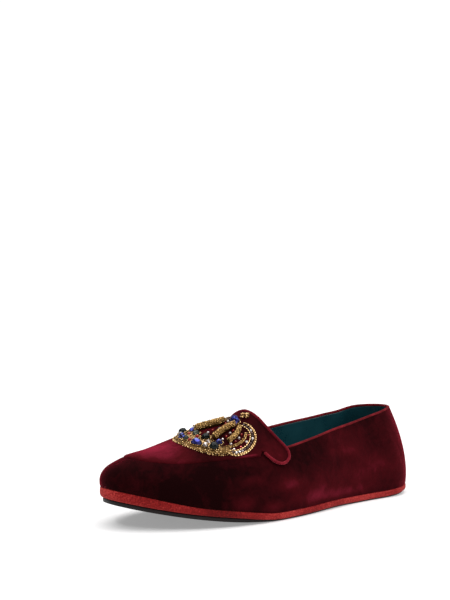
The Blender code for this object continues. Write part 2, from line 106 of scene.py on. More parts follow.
def table(rows, column, at):
    """One column of a table at any place: a cubic between rows, with slopes from the rows on either side."""
    rows = np.asarray(rows, float)
    x, y = rows[:, 0], rows[:, column]
    step = np.diff(x)
    rise = np.diff(y) / step
    slope = np.concatenate([rise[:1],
                            (rise[:-1] * step[1:] + rise[1:] * step[:-1]) / (step[:-1] + step[1:]),
                            rise[-1:]])
    at = np.clip(np.asarray(at, float), x[0], x[-1])
    i = np.clip(np.searchsorted(x, at) - 1, 0, len(step) - 1)
    t = (at - x[i]) / step[i]
    return ((2 * t**3 - 3 * t**2 + 1) * y[i] + (t**3 - 2 * t**2 + t) * step[i] * slope[i]
            + (3 * t**2 - 2 * t**3) * y[i + 1] + (t**3 - t**2) * step[i] * slope[i + 1])


def ease(t):
    """Smooth step: 3 t squared less 2 t cubed, from 0 to 1."""
    t = np.clip(t, 0.0, 1.0)
    return t * t * (3 - 2 * t)


def ground(s):
    """Underside of the sole: a power curve for the toe spring plus smooth steps for the arch and the heel."""
    share = np.clip((s - SPRING_START) / (LENGTH - SPRING_START), 0, 1)
    rise = ease((s - ARCH_RUN[0]) / (ARCH_RUN[1] - ARCH_RUN[0]))
    fall = ease((s - ARCH_RUN[2]) / (ARCH_RUN[3] - ARCH_RUN[2]))
    heel = HEEL_SPRING * ease((HEEL_LIFT - s) / HEEL_LIFT)
    return TOE_SPRING * share**SPRING_POWER + ARCH_RISE * rise * (1 - fall) + heel


def band_foot(s):
    """Height where the band meets the outsole: the ground plus the outsole, thicker under the forefoot."""
    front = ease((s - OUTSOLE_TAPER[0]) / (OUTSOLE_TAPER[1] - OUTSOLE_TAPER[0]))
    return ground(s) + OUTSOLE_REAR + (OUTSOLE_FRONT - OUTSOLE_REAR) * front


def feather_height(s):
    """Height where the upper meets the band: the band's foot plus the band, taller at the toe."""
    front = ease((s - BAND_TAPER[0]) / (BAND_TAPER[1] - BAND_TAPER[0]))
    return band_foot(s) + BAND_REAR + (BAND_FRONT - BAND_REAR) * front


def outline(s, side):
    """x of the feather edge: half width from the table, rounded off at heel and toe like a superellipse."""
    heel = np.clip((HEEL_ROUND - s) / HEEL_ROUND, 0, 1)
    toe = np.clip((s - (LENGTH - TOE_ROUND)) / TOE_ROUND, 0, 1)
    ends = (1 - heel**HEEL_POWER)**(1 / HEEL_POWER) * (1 - toe**TOE_POWER)**(1 / TOE_POWER)
    share = s / LENGTH
    half = np.where(side > 0, table(FEATHER, 1, share), table(FEATHER, 2, share))
    return table(FEATHER, 3, share) + side * half * ends


def last(s, side, v):
    """Outer face of the upper: a cubic in the upright plane from the feather point to the spine point.

    Its four control points are the feather point, one pushed out by the bulge, one a share of the way in
    at the ridge's own slope, and the spine point, each weighted by its Bernstein term in v.
    """
    s, side, v = np.broadcast_arrays(np.asarray(s, float), np.asarray(side, float), np.asarray(v, float))
    spine = HEEL_CENTRE + (TOE_CENTRE - HEEL_CENTRE) * s / LENGTH
    share = spine / LENGTH
    centre = table(FEATHER, 3, share)
    top, bulge, rise, reach = (table(RIDGE, column, share) for column in (1, 2, 3, 4))
    step = 0.001
    slope = (table(RIDGE, 1, share + step) - table(RIDGE, 1, share - step)) / (2 * step * LENGTH)
    foot = feather_height(s) + GAP
    across, ahead = outline(s, side) - centre, s - spine
    reach_out = np.hypot(across, ahead)
    across, ahead = across / reach_out, ahead / reach_out
    weights = ((1 - v)**3, 3 * v * (1 - v)**2, 3 * v * v * (1 - v), v**3)
    radii = (reach_out, reach_out + bulge, reach * reach_out, 0 * reach_out)
    heights = (foot, foot + rise * (top - foot), top + slope * ahead * reach * reach_out, top)
    radius = sum(w * r for w, r in zip(weights, radii))
    height = sum(w * h for w, h in zip(weights, heights))
    return np.stack([centre + across * radius, spine + ahead * radius, height], -1)


# The shoe stands with the middle of its box over the origin: the lower walls are its widest and longest part
WALL_STATIONS = np.linspace(0, LENGTH, 241)[:, None]
WALL_HEIGHTS = np.linspace(0, 0.33, 81)[None, :]
OUTER_WALL, INNER_WALL = (last(WALL_STATIONS, side, WALL_HEIGHTS) for side in (1, -1))
MID_X = (OUTER_WALL[..., 0].max() + INNER_WALL[..., 0].min()) / 2
MID_ALONG = (OUTER_WALL[..., 1].max() + OUTER_WALL[..., 1].min()) / 2


def unit(vectors):
    """Vectors divided by their own length."""
    return vectors / np.linalg.norm(vectors, axis=-1, keepdims=True)


def world(points):
    """Metres in the frame from x, distance along the foot and height in millimetres."""
    x, along, height = np.moveaxis(np.asarray(points, float), -1, 0)
    return np.stack([x - MID_X, MID_ALONG - along, height], -1) * MM


def grid_quads(columns, rows, around=False):
    """Quads of a grid stored column by column; around joins the last row to the first."""
    i, j = np.meshgrid(np.arange(columns - 1), np.arange(rows if around else rows - 1), indexing="ij")
    a, b = i * rows + j, i * rows + (j + 1) % rows
    return np.stack([a, b, b + rows, a + rows], -1).reshape(-1, 4)


def add_piece(name, mesh_parts, material, replaced=(), closed=True, smooth=True, marks=None):
    """One object from points in millimetres and quads, doubles merged, riding on the shoe's one body.

    A closed mesh has its faces turned outwards. marks are named numbers, one for each point.
    """
    points, quads = mesh_parts
    mesh = bpy.data.meshes.new(name)
    mesh.from_pydata(world(points).tolist(), [], quads.tolist())
    for mark, values in (marks or {}).items():
        layer = mesh.attributes.new(mark, "FLOAT", "POINT")
        layer.data.foreach_set("value", np.asarray(values, np.float32).ravel())
    shape = bmesh.new()
    shape.from_mesh(mesh)
    bmesh.ops.remove_doubles(shape, verts=shape.verts, dist=MERGE)
    bmesh.ops.dissolve_degenerate(shape, edges=shape.edges, dist=MERGE)
    if closed:
        bmesh.ops.recalc_face_normals(shape, faces=shape.faces)
    shape.to_mesh(mesh)
    shape.free()
    mesh.materials.append(material)
    mesh.polygons.foreach_set("use_smooth", np.full(len(mesh.polygons), smooth))
    piece = bpy.data.objects.new(name, mesh)
    bpy.context.collection.objects.link(piece)
    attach(piece, "root")
    if replaced:
        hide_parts(*replaced)
    return piece


def slab(low, high, profile, stations):
    """Closed solid round the foot: each profile row is an inset and a share of the way from low to high.

    Low and high are heights at a station. Rings have the same stations on both sides, so top and bottom
    are strips from one side to the other.
    """
    s = LENGTH * (1 - np.cos(np.linspace(0, math.pi, stations))) / 2
    s = np.concatenate([s, s[-2:0:-1]])
    side = np.where(np.arange(len(s)) < stations, 1.0, -1.0)
    edge = np.stack([outline(s, side), s], -1)
    along = np.roll(edge, -1, 0) - np.roll(edge, 1, 0)
    out = unit(np.stack([along[:, 1], -along[:, 0]], -1))
    inset, share = np.asarray(profile, float).T[..., None]
    place = edge[None] - inset[..., None] * out[None]
    station = np.clip(place[..., 1], 0, LENGTH)
    level = low(station) * (1 - share) + high(station) * share
    count = len(s)
    k = np.arange(stations - 1)
    strip = np.stack([k, k + 1, (count - k - 1) % count, (count - k) % count], -1)
    quads = [grid_quads(len(profile), count, around=True), strip, strip + (len(profile) - 1) * count]
    return np.concatenate([place, level[..., None]], -1).reshape(-1, 3), np.concatenate(quads)


def new_material(name, constants):
    """Principled material with the constant numbers and colours set on its own sockets."""
    made = bpy.data.materials.new(name)
    made.use_nodes = True
    shader = made.node_tree.nodes["Principled BSDF"]
    for socket, value in constants.items():
        shader.inputs[socket].default_value = (*value, 1.0) if isinstance(value, tuple) else value
    return made


def add_node(material, kind, inputs, settings=()):
    """New node with its settings made and its sockets set or linked, by name or number."""
    node = material.node_tree.nodes.new(kind)
    for setting, value in dict(settings).items():
        setattr(node, setting, value)
    for socket, value in inputs.items():
        if isinstance(value, bpy.types.NodeSocket):
            material.node_tree.links.new(value, node.inputs[socket])
        else:
            node.inputs[socket].default_value = value
    return node


def object_place(material):
    """Object coordinates in metres, the same as the shoe's frame."""
    return add_node(material, "ShaderNodeTexCoord", {}).outputs["Object"]


def noise(material, place, scale, detail=2.0, roughness=0.5, distortion=0.0):
    """Noise between 0 and 1 with features about 1 / scale metres across."""
    node = add_node(material, "ShaderNodeTexNoise", {"Vector": place, "Scale": scale, "Detail": detail,
                                                     "Roughness": roughness, "Distortion": distortion})
    return node.outputs["Fac"]


def ramp(material, value, stops):
    """Colour ramp over a value: each stop is a place from 0 to 1 and a linear colour."""
    node = add_node(material, "ShaderNodeValToRGB", {"Fac": value})
    marks = node.color_ramp.elements
    while len(marks) < len(stops):
        marks.new(0.5)
    for mark, (place, colour) in zip(marks, stops):
        mark.position = place
        mark.color = (*colour, 1.0)
    return node.outputs["Color"]


def sums(material, *terms):
    """Weighted sum of values: each term is a value and its weight."""
    total = None
    for value, weight in terms:
        inputs = {0: value, 1: weight, 2: 0.0 if total is None else total}
        total = add_node(material, "ShaderNodeMath", inputs, {"operation": "MULTIPLY_ADD"}).outputs[0]
    return total


def bump(material, height, distance, strength=1.0, under=None):
    """Normal tilted by a height value times a distance in metres, over another bump where one is given."""
    inputs = {"Height": height, "Distance": distance, "Strength": strength}
    if under is not None:
        inputs["Normal"] = under
    return add_node(material, "ShaderNodeBump", inputs).outputs["Normal"]


def feed(material, socket, value):
    """Links a value to a socket of the material's shader."""
    material.node_tree.links.new(value, material.node_tree.nodes["Principled BSDF"].inputs[socket])


def teal_leather(name):
    """Smooth dark teal leather: faint clouds of colour, fine pebble grain, soft gloss."""
    made = new_material(name, {"Specular IOR Level": 0.4})
    place = object_place(made)
    clouds = noise(made, place, 45.0, 3.0)
    feed(made, "Base Color", ramp(made, clouds, [(0.3, TEAL_DARK), (0.7, TEAL_LIGHT)]))
    feed(made, "Roughness", sums(made, (clouds, 0.45), (noise(made, place, 900.0), 0.15)))
    grain = noise(made, place, 1300.0, 2.0)
    feed(made, "Normal", bump(made, grain, 0.0003, 0.35))
    return made


SOLE_STATIONS = 161
INSOLE_INSET = WALL + 1.0
INSOLE_THICK = 3.0
TEAL_DARK = (0.007, 0.045, 0.058)
TEAL_LIGHT = (0.012, 0.072, 0.088)

# Insole edge, up from the shoe's floor over its rounded rim: inset from the outline, share of its thickness
INSOLE_PROFILE = [
    (INSOLE_INSET, 0.0),
    (INSOLE_INSET, 0.73),
    (INSOLE_INSET + 0.3, 0.93),
    (INSOLE_INSET + 1.2, 1.0),
    (INSOLE_INSET + 4.0, 0.90),
    (INSOLE_INSET + 9.0, 0.83),
]


def insole_floor(s):
    """Lower face of the insole: a gap over the band."""
    return feather_height(s) + GAP


def insole_top(s):
    """Upper face of the insole at its rim: its thickness over its floor."""
    return insole_floor(s) + INSOLE_THICK


teal = teal_leather("teal_leather")
insole = slab(insole_floor, insole_top, INSOLE_PROFILE, SOLE_STATIONS)
add_piece("leather_insole", insole, teal, ["insole"])

# Upper: burgundy silk velvet, cut as quarters and vamp in one wall, pulled over the last and tucked in
# at the sole. It is 1 mm thick, with the soft creases that handling has left in it, and its pile shines
# where it turns away.
JUNCTION = 157.0
VELVET_THICK = 1.0
TUCK_DEPTH = 0.15
TUCK_HEIGHT = 1.4
SWELL = 0.5
SWELL_REACH = 7.0
SWELL_TUCK = 1.6
SWELL_START = 182.0
SWELL_RUN = 20.0
SECTION_RUN = 75.0
INNER_SHIFT = 11.0
HALVINGS = 40
ROW_POWER = 1.15
QUARTER_COLUMNS = 110
VAMP_COLUMNS = 130
LOWER_ROWS = 44
UPPER_ROWS = 26

# Collar edge: share of length, height on the outer side, height on the inner side
TOPLINE = [
    (0.00, 72.2, 72.2),
    (0.06, 70.9, 71.0),
    (0.13, 67.8, 67.2),
    (0.19, 65.0, 65.3),
    (0.26, 61.9, 63.1),
    (0.34, 58.9, 61.0),
    (0.43, 55.0, 58.0),
    (0.50, 52.3, 53.6),
    (0.55, 50.5, 50.5),
]

# Throat edge of the vamp: v, station
THROAT = [
    (0.28, 155.0),
    (0.376, 155.2),
    (0.432, 157.3),
    (0.54, 162.5),
    (0.64, 165.2),
    (0.83, 165.8),
    (1.00, 165.0),
]

# Lower edge of the apron, ear first: share of length, v
APRON_EDGE = [
    (0.548, 0.402),
    (0.554, 0.370),
    (0.563, 0.350),
    (0.576, 0.342),
    (0.588, 0.349),
    (0.599, 0.366),
    (0.608, 0.397),
    (0.613, 0.430),
    (0.617, 0.468),
    (0.632, 0.447),
    (0.660, 0.446),
    (0.715, 0.454),
    (0.796, 0.472),
    (0.866, 0.508),
    (0.922, 0.560),
    (0.966, 0.628),
    (0.988, 0.685),
    (1.000, 0.710),
]

# Creases: side, along and height at one end, along and height at the other, half width, rise over the last
CREASES = [
    (1, 116.0, 57.5, 66.0, 29.5, 4.5, 0.55),
    (1, 108.0, 46.0, 58.0, 18.5, 6.0, -0.60),
    (1, 84.0, 59.0, 52.0, 36.5, 6.0, -0.40),
    (1, 142.0, 37.5, 96.0, 17.0, 7.0, 0.40),
    (1, 186.0, 34.5, 146.0, 20.0, 4.5, 0.40),
    (1, 196.0, 28.5, 150.0, 15.0, 4.0, -0.40),
    (1, 178.0, 7.0, 172.0, 18.0, 2.6, 0.35),
    (1, 198.0, 9.5, 193.0, 20.5, 2.8, 0.30),
    (1, 207.0, 12.5, 205.0, 24.5, 2.4, 0.30),
    (1, 150.0, 6.0, 147.0, 16.0, 2.6, 0.30),
    (1, 34.0, 58.0, 16.0, 22.0, 4.0, -0.45),
    (-1, 118.0, 49.5, 70.0, 26.5, 5.0, 0.50),
    (-1, 108.0, 39.0, 60.0, 16.5, 6.0, -0.55),
    (-1, 188.0, 32.5, 140.0, 17.5, 5.0, 0.35),
    (-1, 30.0, 54.0, 18.0, 24.0, 4.0, -0.40),
]

# Pile painted lighter or darker, partly its own brushed patches and partly painted light: lighter where the
# quarter and the lower walls catch light, painted shade on the vamp towards the toe: along, height, half
# length, half height, weight
BRUSHED_AND_LIT_PLACES = [
    (90.0, 43.0, 16.0, 6.0, 0.55),
    (60.0, 30.5, 26.0, 14.0, 0.35),
    (100.0, 23.0, 50.0, 12.0, 0.40),
    (160.0, 25.0, 14.0, 5.0, 0.60),
    (190.0, 31.5, 10.0, 4.0, 0.30),
    (176.0, 11.0, 9.0, 4.0, 0.50),
    (202.0, 16.5, 8.0, 5.0, 0.50),
    (130.0, 13.5, 30.0, 6.0, 0.45),
    (24.0, 36.0, 12.0, 26.0, 0.40),
    (93.0, 55.0, 22.0, 7.0, 0.30),
    (95.0, 11.0, 34.0, 4.0, 0.45),
    (20.0, 9.0, 14.0, 6.0, 0.40),
    (238.0, 30.0, 24.0, 14.0, -0.22),
]


def last_normal(s, side, v):
    """Outward unit normal of the last: cross product of small steps in s and v, or the ridge's own slope."""
    ds, dv = 0.05, 0.002
    s, side, v = np.broadcast_arrays(np.asarray(s, float), np.asarray(side, float), np.asarray(v, float))
    s0, s1 = np.clip(s - ds, 0.0, LENGTH), np.clip(s + ds, 0.0, LENGTH)
    v0, v1 = np.clip(v - dv, 0.0, 1.0 - dv), np.clip(v + dv, dv, 1.0)
    along = last(s1, side, v) - last(s0, side, v)
    up = last(s, side, v1) - last(s, side, v0)
    normal = np.cross(along, up) * side[..., None]
    ridge = last(s1, side, 1.0) - last(s0, side, 1.0)
    ridge = np.stack([0 * s, -ridge[..., 2], ridge[..., 1]], -1)
    normal = np.where((v > 1 - dv)[..., None], ridge, normal)
    return unit(normal)


def collar_v(s, side):
    """v at which a section reaches the collar's height, by halving."""
    height = np.where(side > 0, table(TOPLINE, 1, s / LENGTH), table(TOPLINE, 2, s / LENGTH))
    low, high = np.zeros_like(s), np.ones_like(s)
    for _ in range(HALVINGS):
        middle = (low + high) / 2
        under = last(s, side, middle)[..., 2] < height
        low = np.where(under, middle, low)
        high = np.where(under, high, middle)
    return low


def relief(place, side):
    """Rise of the velvet over the last: each crease is a bell across its line, faded at both ends."""
    along, height = place[..., 1], place[..., 2]
    total = np.zeros_like(along)
    for where, along0, height0, along1, height1, width, rise in CREASES:
        run, climb = along1 - along0, height1 - height0
        length = math.hypot(run, climb)
        share = ((along - along0) * run + (height - height0) * climb) / length**2
        off = ((height - height0) * run - (along - along0) * climb) / length
        total += (side == where) * rise * np.exp(-(off / width)**2 - (2 * share - 1)**4)
    return total


def bells(first, second, rows):
    """Sum of flat bells over two measures: each row is a middle in both, a half size in both and a weight."""
    return sum(weight * np.exp(-((first - one) / half_one)**2 - ((second - two) / half_two)**2)
               for one, two, half_one, half_two, weight in rows)


def brushed_and_lit(place, side):
    """Lightness of the pile, partly the pile's own patches and partly painted light and shade: bells over
    places seen from the side, shifted a little on the inner side.
    """
    return bells(place[..., 1] + np.where(side > 0, 0.0, INNER_SHIFT), place[..., 2], BRUSHED_AND_LIT_PLACES)


def seam_swell(s, v):
    """Rise of the vamp along the apron's seam: a soft bell below it, gone just under the apron's edge."""
    below = (table(APRON_EDGE, 1, s / LENGTH) - v) * SECTION_RUN
    bell = np.where(below > 0, np.exp(-(below / SWELL_REACH)**2), 1 - ease(-below / SWELL_TUCK))
    return SWELL * bell * ease((s - SWELL_START) / SWELL_RUN)


def skin(s, side, v, depth=0.0):
    """Upper's face at a depth: the last, raised by creases and seam and turned in along its foot."""
    place, normal = last(s, side, v), last_normal(s, side, v)
    foot = last(s, side, 0.0)[..., 2]
    tuck = TUCK_DEPTH * (1 - ease((place[..., 2] - foot) / TUCK_HEIGHT))
    return place + normal * (relief(place, side) + seam_swell(s, v) - tuck - depth)[..., None]


def join(parts):
    """Points and quads of several meshes as one, each mesh's quads counted on from the points before it."""
    starts = np.cumsum([0] + [len(points.reshape(-1, 3)) for points, _ in parts])
    return (np.concatenate([points.reshape(-1, 3) for points, _ in parts]),
            np.concatenate([quads + start for (_, quads), start in zip(parts, starts)]))


def upper_patches(depth):
    """Quarter and vamp of both sides as grids: station by v, from heel to junction and from throat to toe."""
    parts, marks = [], []
    for side in (1.0, -1.0):
        s = JUNCTION * (1 - np.cos(np.linspace(0, math.pi / 2, QUARTER_COLUMNS)))
        lower = np.linspace(0, 1, LOWER_ROWS + 1)**ROW_POWER
        quarter_v = collar_v(s, np.full_like(s, side))[:, None] * lower[None, :]
        quarter_s = np.broadcast_to(s[:, None], quarter_v.shape)
        at = quarter_v[-1, -1]
        v = np.concatenate([at * lower, at + (1 - at) * np.linspace(0, 1, UPPER_ROWS + 1)[1:]])
        start = JUNCTION + np.where(v > at, table(THROAT, 1, v) - table(THROAT, 1, at), 0.0)
        share = np.sin(np.linspace(0, math.pi / 2, VAMP_COLUMNS))
        vamp_s = start[None, :] + (LENGTH - start[None, :]) * share[:, None]
        vamp_v = np.broadcast_to(v[None, :], vamp_s.shape)
        for stations, heights in ((quarter_s, quarter_v), (vamp_s, vamp_v)):
            points = skin(stations, side, heights, depth)
            quads = grid_quads(*stations.shape)
            parts.append((points, quads if side > 0 else quads[:, ::-1]))
            marks.append(brushed_and_lit(last(stations, side, heights), side).ravel())
    return join(parts), np.concatenate(marks)


def thicken(piece, thick):
    """Gives a surface its thickness inwards, with a closed rim."""
    wall = piece.modifiers.new("wall", "SOLIDIFY")
    wall.thickness = thick * MM
    wall.offset = -1.0
    wall.use_even_offset = True
    wall.use_rim = True


def mark_value(material, mark):
    """Named number of a mesh's points, as the material reads it."""
    return add_node(material, "ShaderNodeAttribute", {}, {"attribute_name": mark}).outputs["Fac"]


def velvet_pile(name, dark, light, bright, glow):
    """Silk velvet: dark where it faces the eye, a tinted sheen at grazing angles, clouds of laid pile and a
    mark of pile patches and painted light.
    """
    made = new_material(name, {"Roughness": 0.9, "Specular IOR Level": 0.02, "Sheen Weight": 1.0,
                               "Sheen Roughness": 0.3, "Sheen Tint": glow})
    place = object_place(made)
    # The mark is partly the pile's own brushed patches and partly painted light and shade, and lifts the
    # colour towards the bright stop.
    patch = mark_value(made, "brushed_and_lit")
    clouds = noise(made, place, 42.0, 3.0, 0.55, 0.6)
    streaks = noise(made, place, 130.0, 2.0, 0.6, 1.2)
    lightness = sums(made, (patch, 0.375), (clouds, 0.325), (streaks, 0.175))
    feed(made, "Base Color", ramp(made, lightness, [(0.20, dark), (0.44, light), (0.75, bright)]))
    soft = bump(made, clouds, 0.004, 0.35)
    pile = noise(made, place, 2600.0, 1.0)
    feed(made, "Normal", bump(made, pile, 0.00025, 0.5, soft))
    return made


VELVET_DARK = (0.006, 0.0006, 0.0008)
VELVET_LIGHT = (0.042, 0.0021, 0.0038)
VELVET_BRIGHT = (0.17, 0.010, 0.025)
VELVET_GLOW = (0.44, 0.017, 0.045)

velvet = velvet_pile("wine_velvet", VELVET_DARK, VELVET_LIGHT, VELVET_BRIGHT, VELVET_GLOW)
upper_mesh, upper_brushed_and_lit = upper_patches(0.0)
upper = add_piece("velvet_upper", upper_mesh, velvet, ["upper"], closed=False,
                  marks={"brushed_and_lit": upper_brushed_and_lit})
thicken(upper, VELVET_THICK)

# Lining: thin teal leather bagged out against the inside of the velvet, seen through the collar.
# It follows the velvet's creases and fills the wall to 2 mm.
LINING_GAP = 0.05

lining_mesh, _ = upper_patches(VELVET_THICK + LINING_GAP)
lining = add_piece("leather_lining", lining_mesh, teal, closed=False)
thicken(lining, WALL - VELVET_THICK - LINING_GAP)

# Collar binding: a narrow red ribbon rolled over the top edge of velvet and lining, from ear to ear.
# It is an oval bead in section, with the ribbon's fine cross ribs.
BINDING_END = 154.5
BINDING_COLUMNS = 180
BINDING_SIDES = 16
BINDING_WIDTH = 2.5
BINDING_HEIGHT = 2.2
BINDING_RISE = 0.2
UP_STEP = 0.01
RIBBON_PITCH = 0.9
RIBBON_DARK = (0.065, 0.003, 0.005)
RIBBON_LIGHT = (0.17, 0.009, 0.014)
RIBBON_GLOW = (0.8, 0.08, 0.1)


def run_length(path):
    """Distance along a path to each of its points."""
    return np.concatenate([[0.0], np.cumsum(np.linalg.norm(np.diff(path, axis=0), axis=-1))])


def tube(path, normal, width, height, lift, sides, twist=None):
    """Oval profile carried along a path: width beside it, height along the normal, round closed ends.

    twist multiplies the profile's radius, given the distance along the path and the angle round it.
    """
    run = run_length(path)
    beside = unit(np.cross(np.gradient(path, axis=0), normal))
    normal = np.cross(beside, unit(np.gradient(path, axis=0)))
    from_end = np.minimum(run, run[-1] - run) / (height / 2)
    size = np.sqrt(1 - (1 - np.clip(from_end, 0, 1))**2)
    angle = np.linspace(0, 2 * math.pi, sides, endpoint=False)
    radius = size[:, None] * (1.0 if twist is None else twist(run[:, None], angle[None, :]))
    points = (path[:, None] + beside[:, None] * (radius * width / 2 * np.cos(angle))[..., None]
              + normal[:, None] * (lift + height / 2 + radius * height / 2 * np.sin(angle))[..., None])
    return points, grid_quads(len(path), sides, around=True)


def collar_path(side):
    """Middle of the collar edge from the heel to the ear, with the direction up the wall."""
    s = BINDING_END * (1 - np.cos(np.linspace(0, math.pi / 2, BINDING_COLUMNS)))
    v = collar_v(s, np.full_like(s, side))
    up = unit(last(s, side, v + UP_STEP) - last(s, side, v))
    return skin(s, side, v) - last_normal(s, side, v) * WALL / 2, up


def red_ribbon(name):
    """Ribbon with fine cross ribs that follow its own run, a soft sheen, clouds of paler wear and painted
    shade between the ribs.
    """
    made = new_material(name, {"Roughness": 0.8, "Specular IOR Level": 0.05, "Sheen Weight": 0.12,
                               "Sheen Roughness": 0.4, "Sheen Tint": RIBBON_GLOW})
    turn = sums(made, (mark_value(made, "run"), 2 * math.pi / RIBBON_PITCH))
    rib = add_node(made, "ShaderNodeMath", {0: turn}, {"operation": "SINE"}).outputs[0]
    lightness_shift = noise(made, object_place(made), 160.0, 3.0)
    # The ribs' wave in the colour is painted light and shade: lighter on the crests, darker in the grooves.
    lightness = sums(made, (lightness_shift, 1.0), (rib, 0.10))
    feed(made, "Base Color", ramp(made, lightness, [(0.3, RIBBON_DARK), (0.75, RIBBON_LIGHT)]))
    feed(made, "Normal", bump(made, rib, 0.00012, 0.6))
    return made


ribbon = red_ribbon("red_ribbon")
outer_path, outer_up = collar_path(1.0)
inner_path, inner_up = collar_path(-1.0)
collar = np.concatenate([outer_path[::-1], inner_path[1:]])
collar_up = np.concatenate([outer_up[::-1], inner_up[1:]])
ribbon_lift = BINDING_RISE - BINDING_HEIGHT / 2
collar_tube = tube(collar, collar_up, BINDING_WIDTH, BINDING_HEIGHT, ribbon_lift, BINDING_SIDES)
add_piece("collar_ribbon", join([collar_tube]), ribbon, ["topline_binding"],
          marks={"run": np.repeat(run_length(collar), BINDING_SIDES)})

# Apron: a second piece of the same velvet over the top of the foot, 1 mm thick, with an ear on each side.
# Its lower edge is turned under and sewn down, a soft step with no stitches. Its front towards the toe
# carries a painted highlight, and a painted highlight runs along the seam.
APRON_FACE = 1.45
APRON_THICK = 1.0
APRON_FOOT = 0.1
APRON_SINK = 0.25
SEAM_ROLL = 2.4
SEWN_SHARE = 0.04
EAR_ROLL = 0.9
EAR_FOOT = 0.9
EAR_BACK = 0.548
EAR_FRONT = 0.617
EAR_SHARE = (EAR_FRONT - EAR_BACK) / (1 - EAR_BACK)
EAR_COLUMNS = 60
APRON_COLUMNS = 110
APRON_ROWS = 40
APRON_ROW_POWER = 1.7

# Painted highlight along the seam, a lighter line over its rolled edge: along, half length, distance over the
# edge, half width, weight
SEAM_HIGHLIGHT = (192.0, 9.0, 1.5, 0.8, 0.6)

# Painted light on the apron, the largest a painted highlight over its front where the top light falls:
# across, along, half width, half length, weight
APRON_PAINTED_LIGHT = [
    (-10.0, 242.5, 25.0, 21.0, 1.40),
    (20.0, 239.0, 13.0, 14.0, 0.32),
    (38.0, 205.0, 10.0, 40.0, 0.30),
    (41.0, 168.0, 8.0, 12.0, 0.30),
]


def apron_place(share, row):
    """Station and v on the apron: share runs from the throat edge to the toe, row from the lower edge up."""
    base = table(THROAT, 1, 0.0)
    low = table(APRON_EDGE, 1, (base + (LENGTH - base) * share) / LENGTH)
    v = low + (1 - low) * row
    start = table(THROAT, 1, v)
    return start + (LENGTH - start) * share, v


def quarter_round(distance, radius):
    """Height share of a rounded edge: a quarter circle that rises from 0 at the edge to 1 at the radius."""
    return np.sqrt(1 - (1 - np.clip(distance / radius, 0, 1))**2)


def apron_brushed_and_lit(place, side):
    """Lightness of the apron's pile: that of the upper plus painted highlights, bells over places seen from
    above.
    """
    return brushed_and_lit(place, side) + bells(place[..., 0], place[..., 1], APRON_PAINTED_LIGHT)


def apron_half(side):
    """Outer and inner face of one half: the last lifted along its normal, rolled down to its free edges."""
    ear = np.linspace(0, EAR_SHARE, EAR_COLUMNS)
    rest = EAR_SHARE + (1 - EAR_SHARE) * np.sin(np.linspace(0, math.pi / 2, APRON_COLUMNS))
    share = np.concatenate([ear, rest[1:]])[:, None]
    s, v = apron_place(share, (np.linspace(0, 1, APRON_ROWS)**APRON_ROW_POWER)[None, :])
    place, normal = last(s, side, v), last_normal(s, side, v)
    up = np.cumsum(np.linalg.norm(np.diff(place, axis=1, prepend=place[:, :1]), axis=-1), axis=1)
    ahead = np.cumsum(np.linalg.norm(np.diff(place, axis=0, prepend=place[:1]), axis=-1), axis=0)
    sewn = ease((share - EAR_SHARE) / SEWN_SHARE)
    roll = EAR_ROLL + (SEAM_ROLL - EAR_ROLL) * sewn
    foot = EAR_FOOT + (APRON_FOOT - EAR_FOOT) * sewn
    lift = foot + (APRON_FACE - foot) * quarter_round(up, roll)
    lift = EAR_FOOT + (lift - EAR_FOOT) * np.where(lift > EAR_FOOT, quarter_round(ahead, EAR_ROLL), 1.0)
    under = np.maximum(lift - APRON_THICK, -APRON_SINK)
    # Painted highlight: the pile is painted lighter in a line along the seam's roll.
    along, half_length, over, half_width, weight = SEAM_HIGHLIGHT
    line = weight * np.exp(-((place[..., 1] - along) / half_length)**4 - ((up - over) / half_width)**2)
    faces = [place + normal * height[..., None] for height in (lift, under)]
    return *faces, apron_brushed_and_lit(place, side) + line


def shell(outer, inner):
    """Closed wall from two grids of one shape: both faces, and strips at the first column and both rows."""
    columns, rows = outer.shape[:2]
    face = grid_quads(columns, rows)
    start = columns * rows
    c, r = np.arange(columns - 1), np.arange(rows - 1)
    first = np.stack([r, r + 1, r + 1 + start, r + start], -1)
    low = np.stack([c * rows, (c + 1) * rows, (c + 1) * rows + start, c * rows + start], -1)
    high = low + rows - 1
    return np.concatenate([outer, inner]), np.concatenate([face, face[:, ::-1] + start, first, low, high])


outer_half, inner_half = apron_half(1.0), apron_half(-1.0)
apron_face, apron_back, apron_light = (np.concatenate([outer, inner[:, -2::-1]], axis=1)
                                       for outer, inner in zip(outer_half, inner_half))
add_piece("velvet_apron", join([shell(apron_face, apron_back)]), velvet, ["apron"],
          marks={"brushed_and_lit": np.concatenate([apron_light, apron_light])})

# Crown base: a gold-brown cloth pad sewn to the apron and covered with gold beads, bowed towards the toe.
# The crown's places are millimetres across from its axis and along the foot, dropped on the apron's face.
CROWN_AXIS = 8.0
FIELD_ACROSS = (-38.0, 34.0)
FIELD_ALONG = (160.0, 236.0)
FIELD_STEP = 1.0
FIELD_MARGIN = 1.001
FIELD_ROUNDS = 16
FIELD_STATIONS = (150.0, LENGTH - 1)
FIELD_TURN = 0.7
STATION_STEP = 20.0
TURN_STEP = 0.12
TURN_GUESS = 4.0
BASE_ALONG = 199.5
BASE_HALF = 22.3
BASE_DEPTH = 22.8
BASE_POWER = 2.5
BASE_TRIM = 0.13
BASE_WIDTH = 9.6
BASE_POINTS = 121
PAD_HEIGHT = 1.5
PAD_LIFT = -0.2
PAD_SIDES = 16
DRAW_SEED = 11
BEAD_PITCH = 1.35
BEAD_SIZE = (0.9, 1.3)
BEAD_STIR = 0.22
TAIL_SHARE = 0.13
TAIL_ASIDE = -2.6
TAIL_WIDTH = 6.0
TAIL_STEP = 0.5
LONG_POINTS = 141
TAIL_ROWS = (-6.4, -5.2, -4.0, -2.6, -1.2, 0.2)
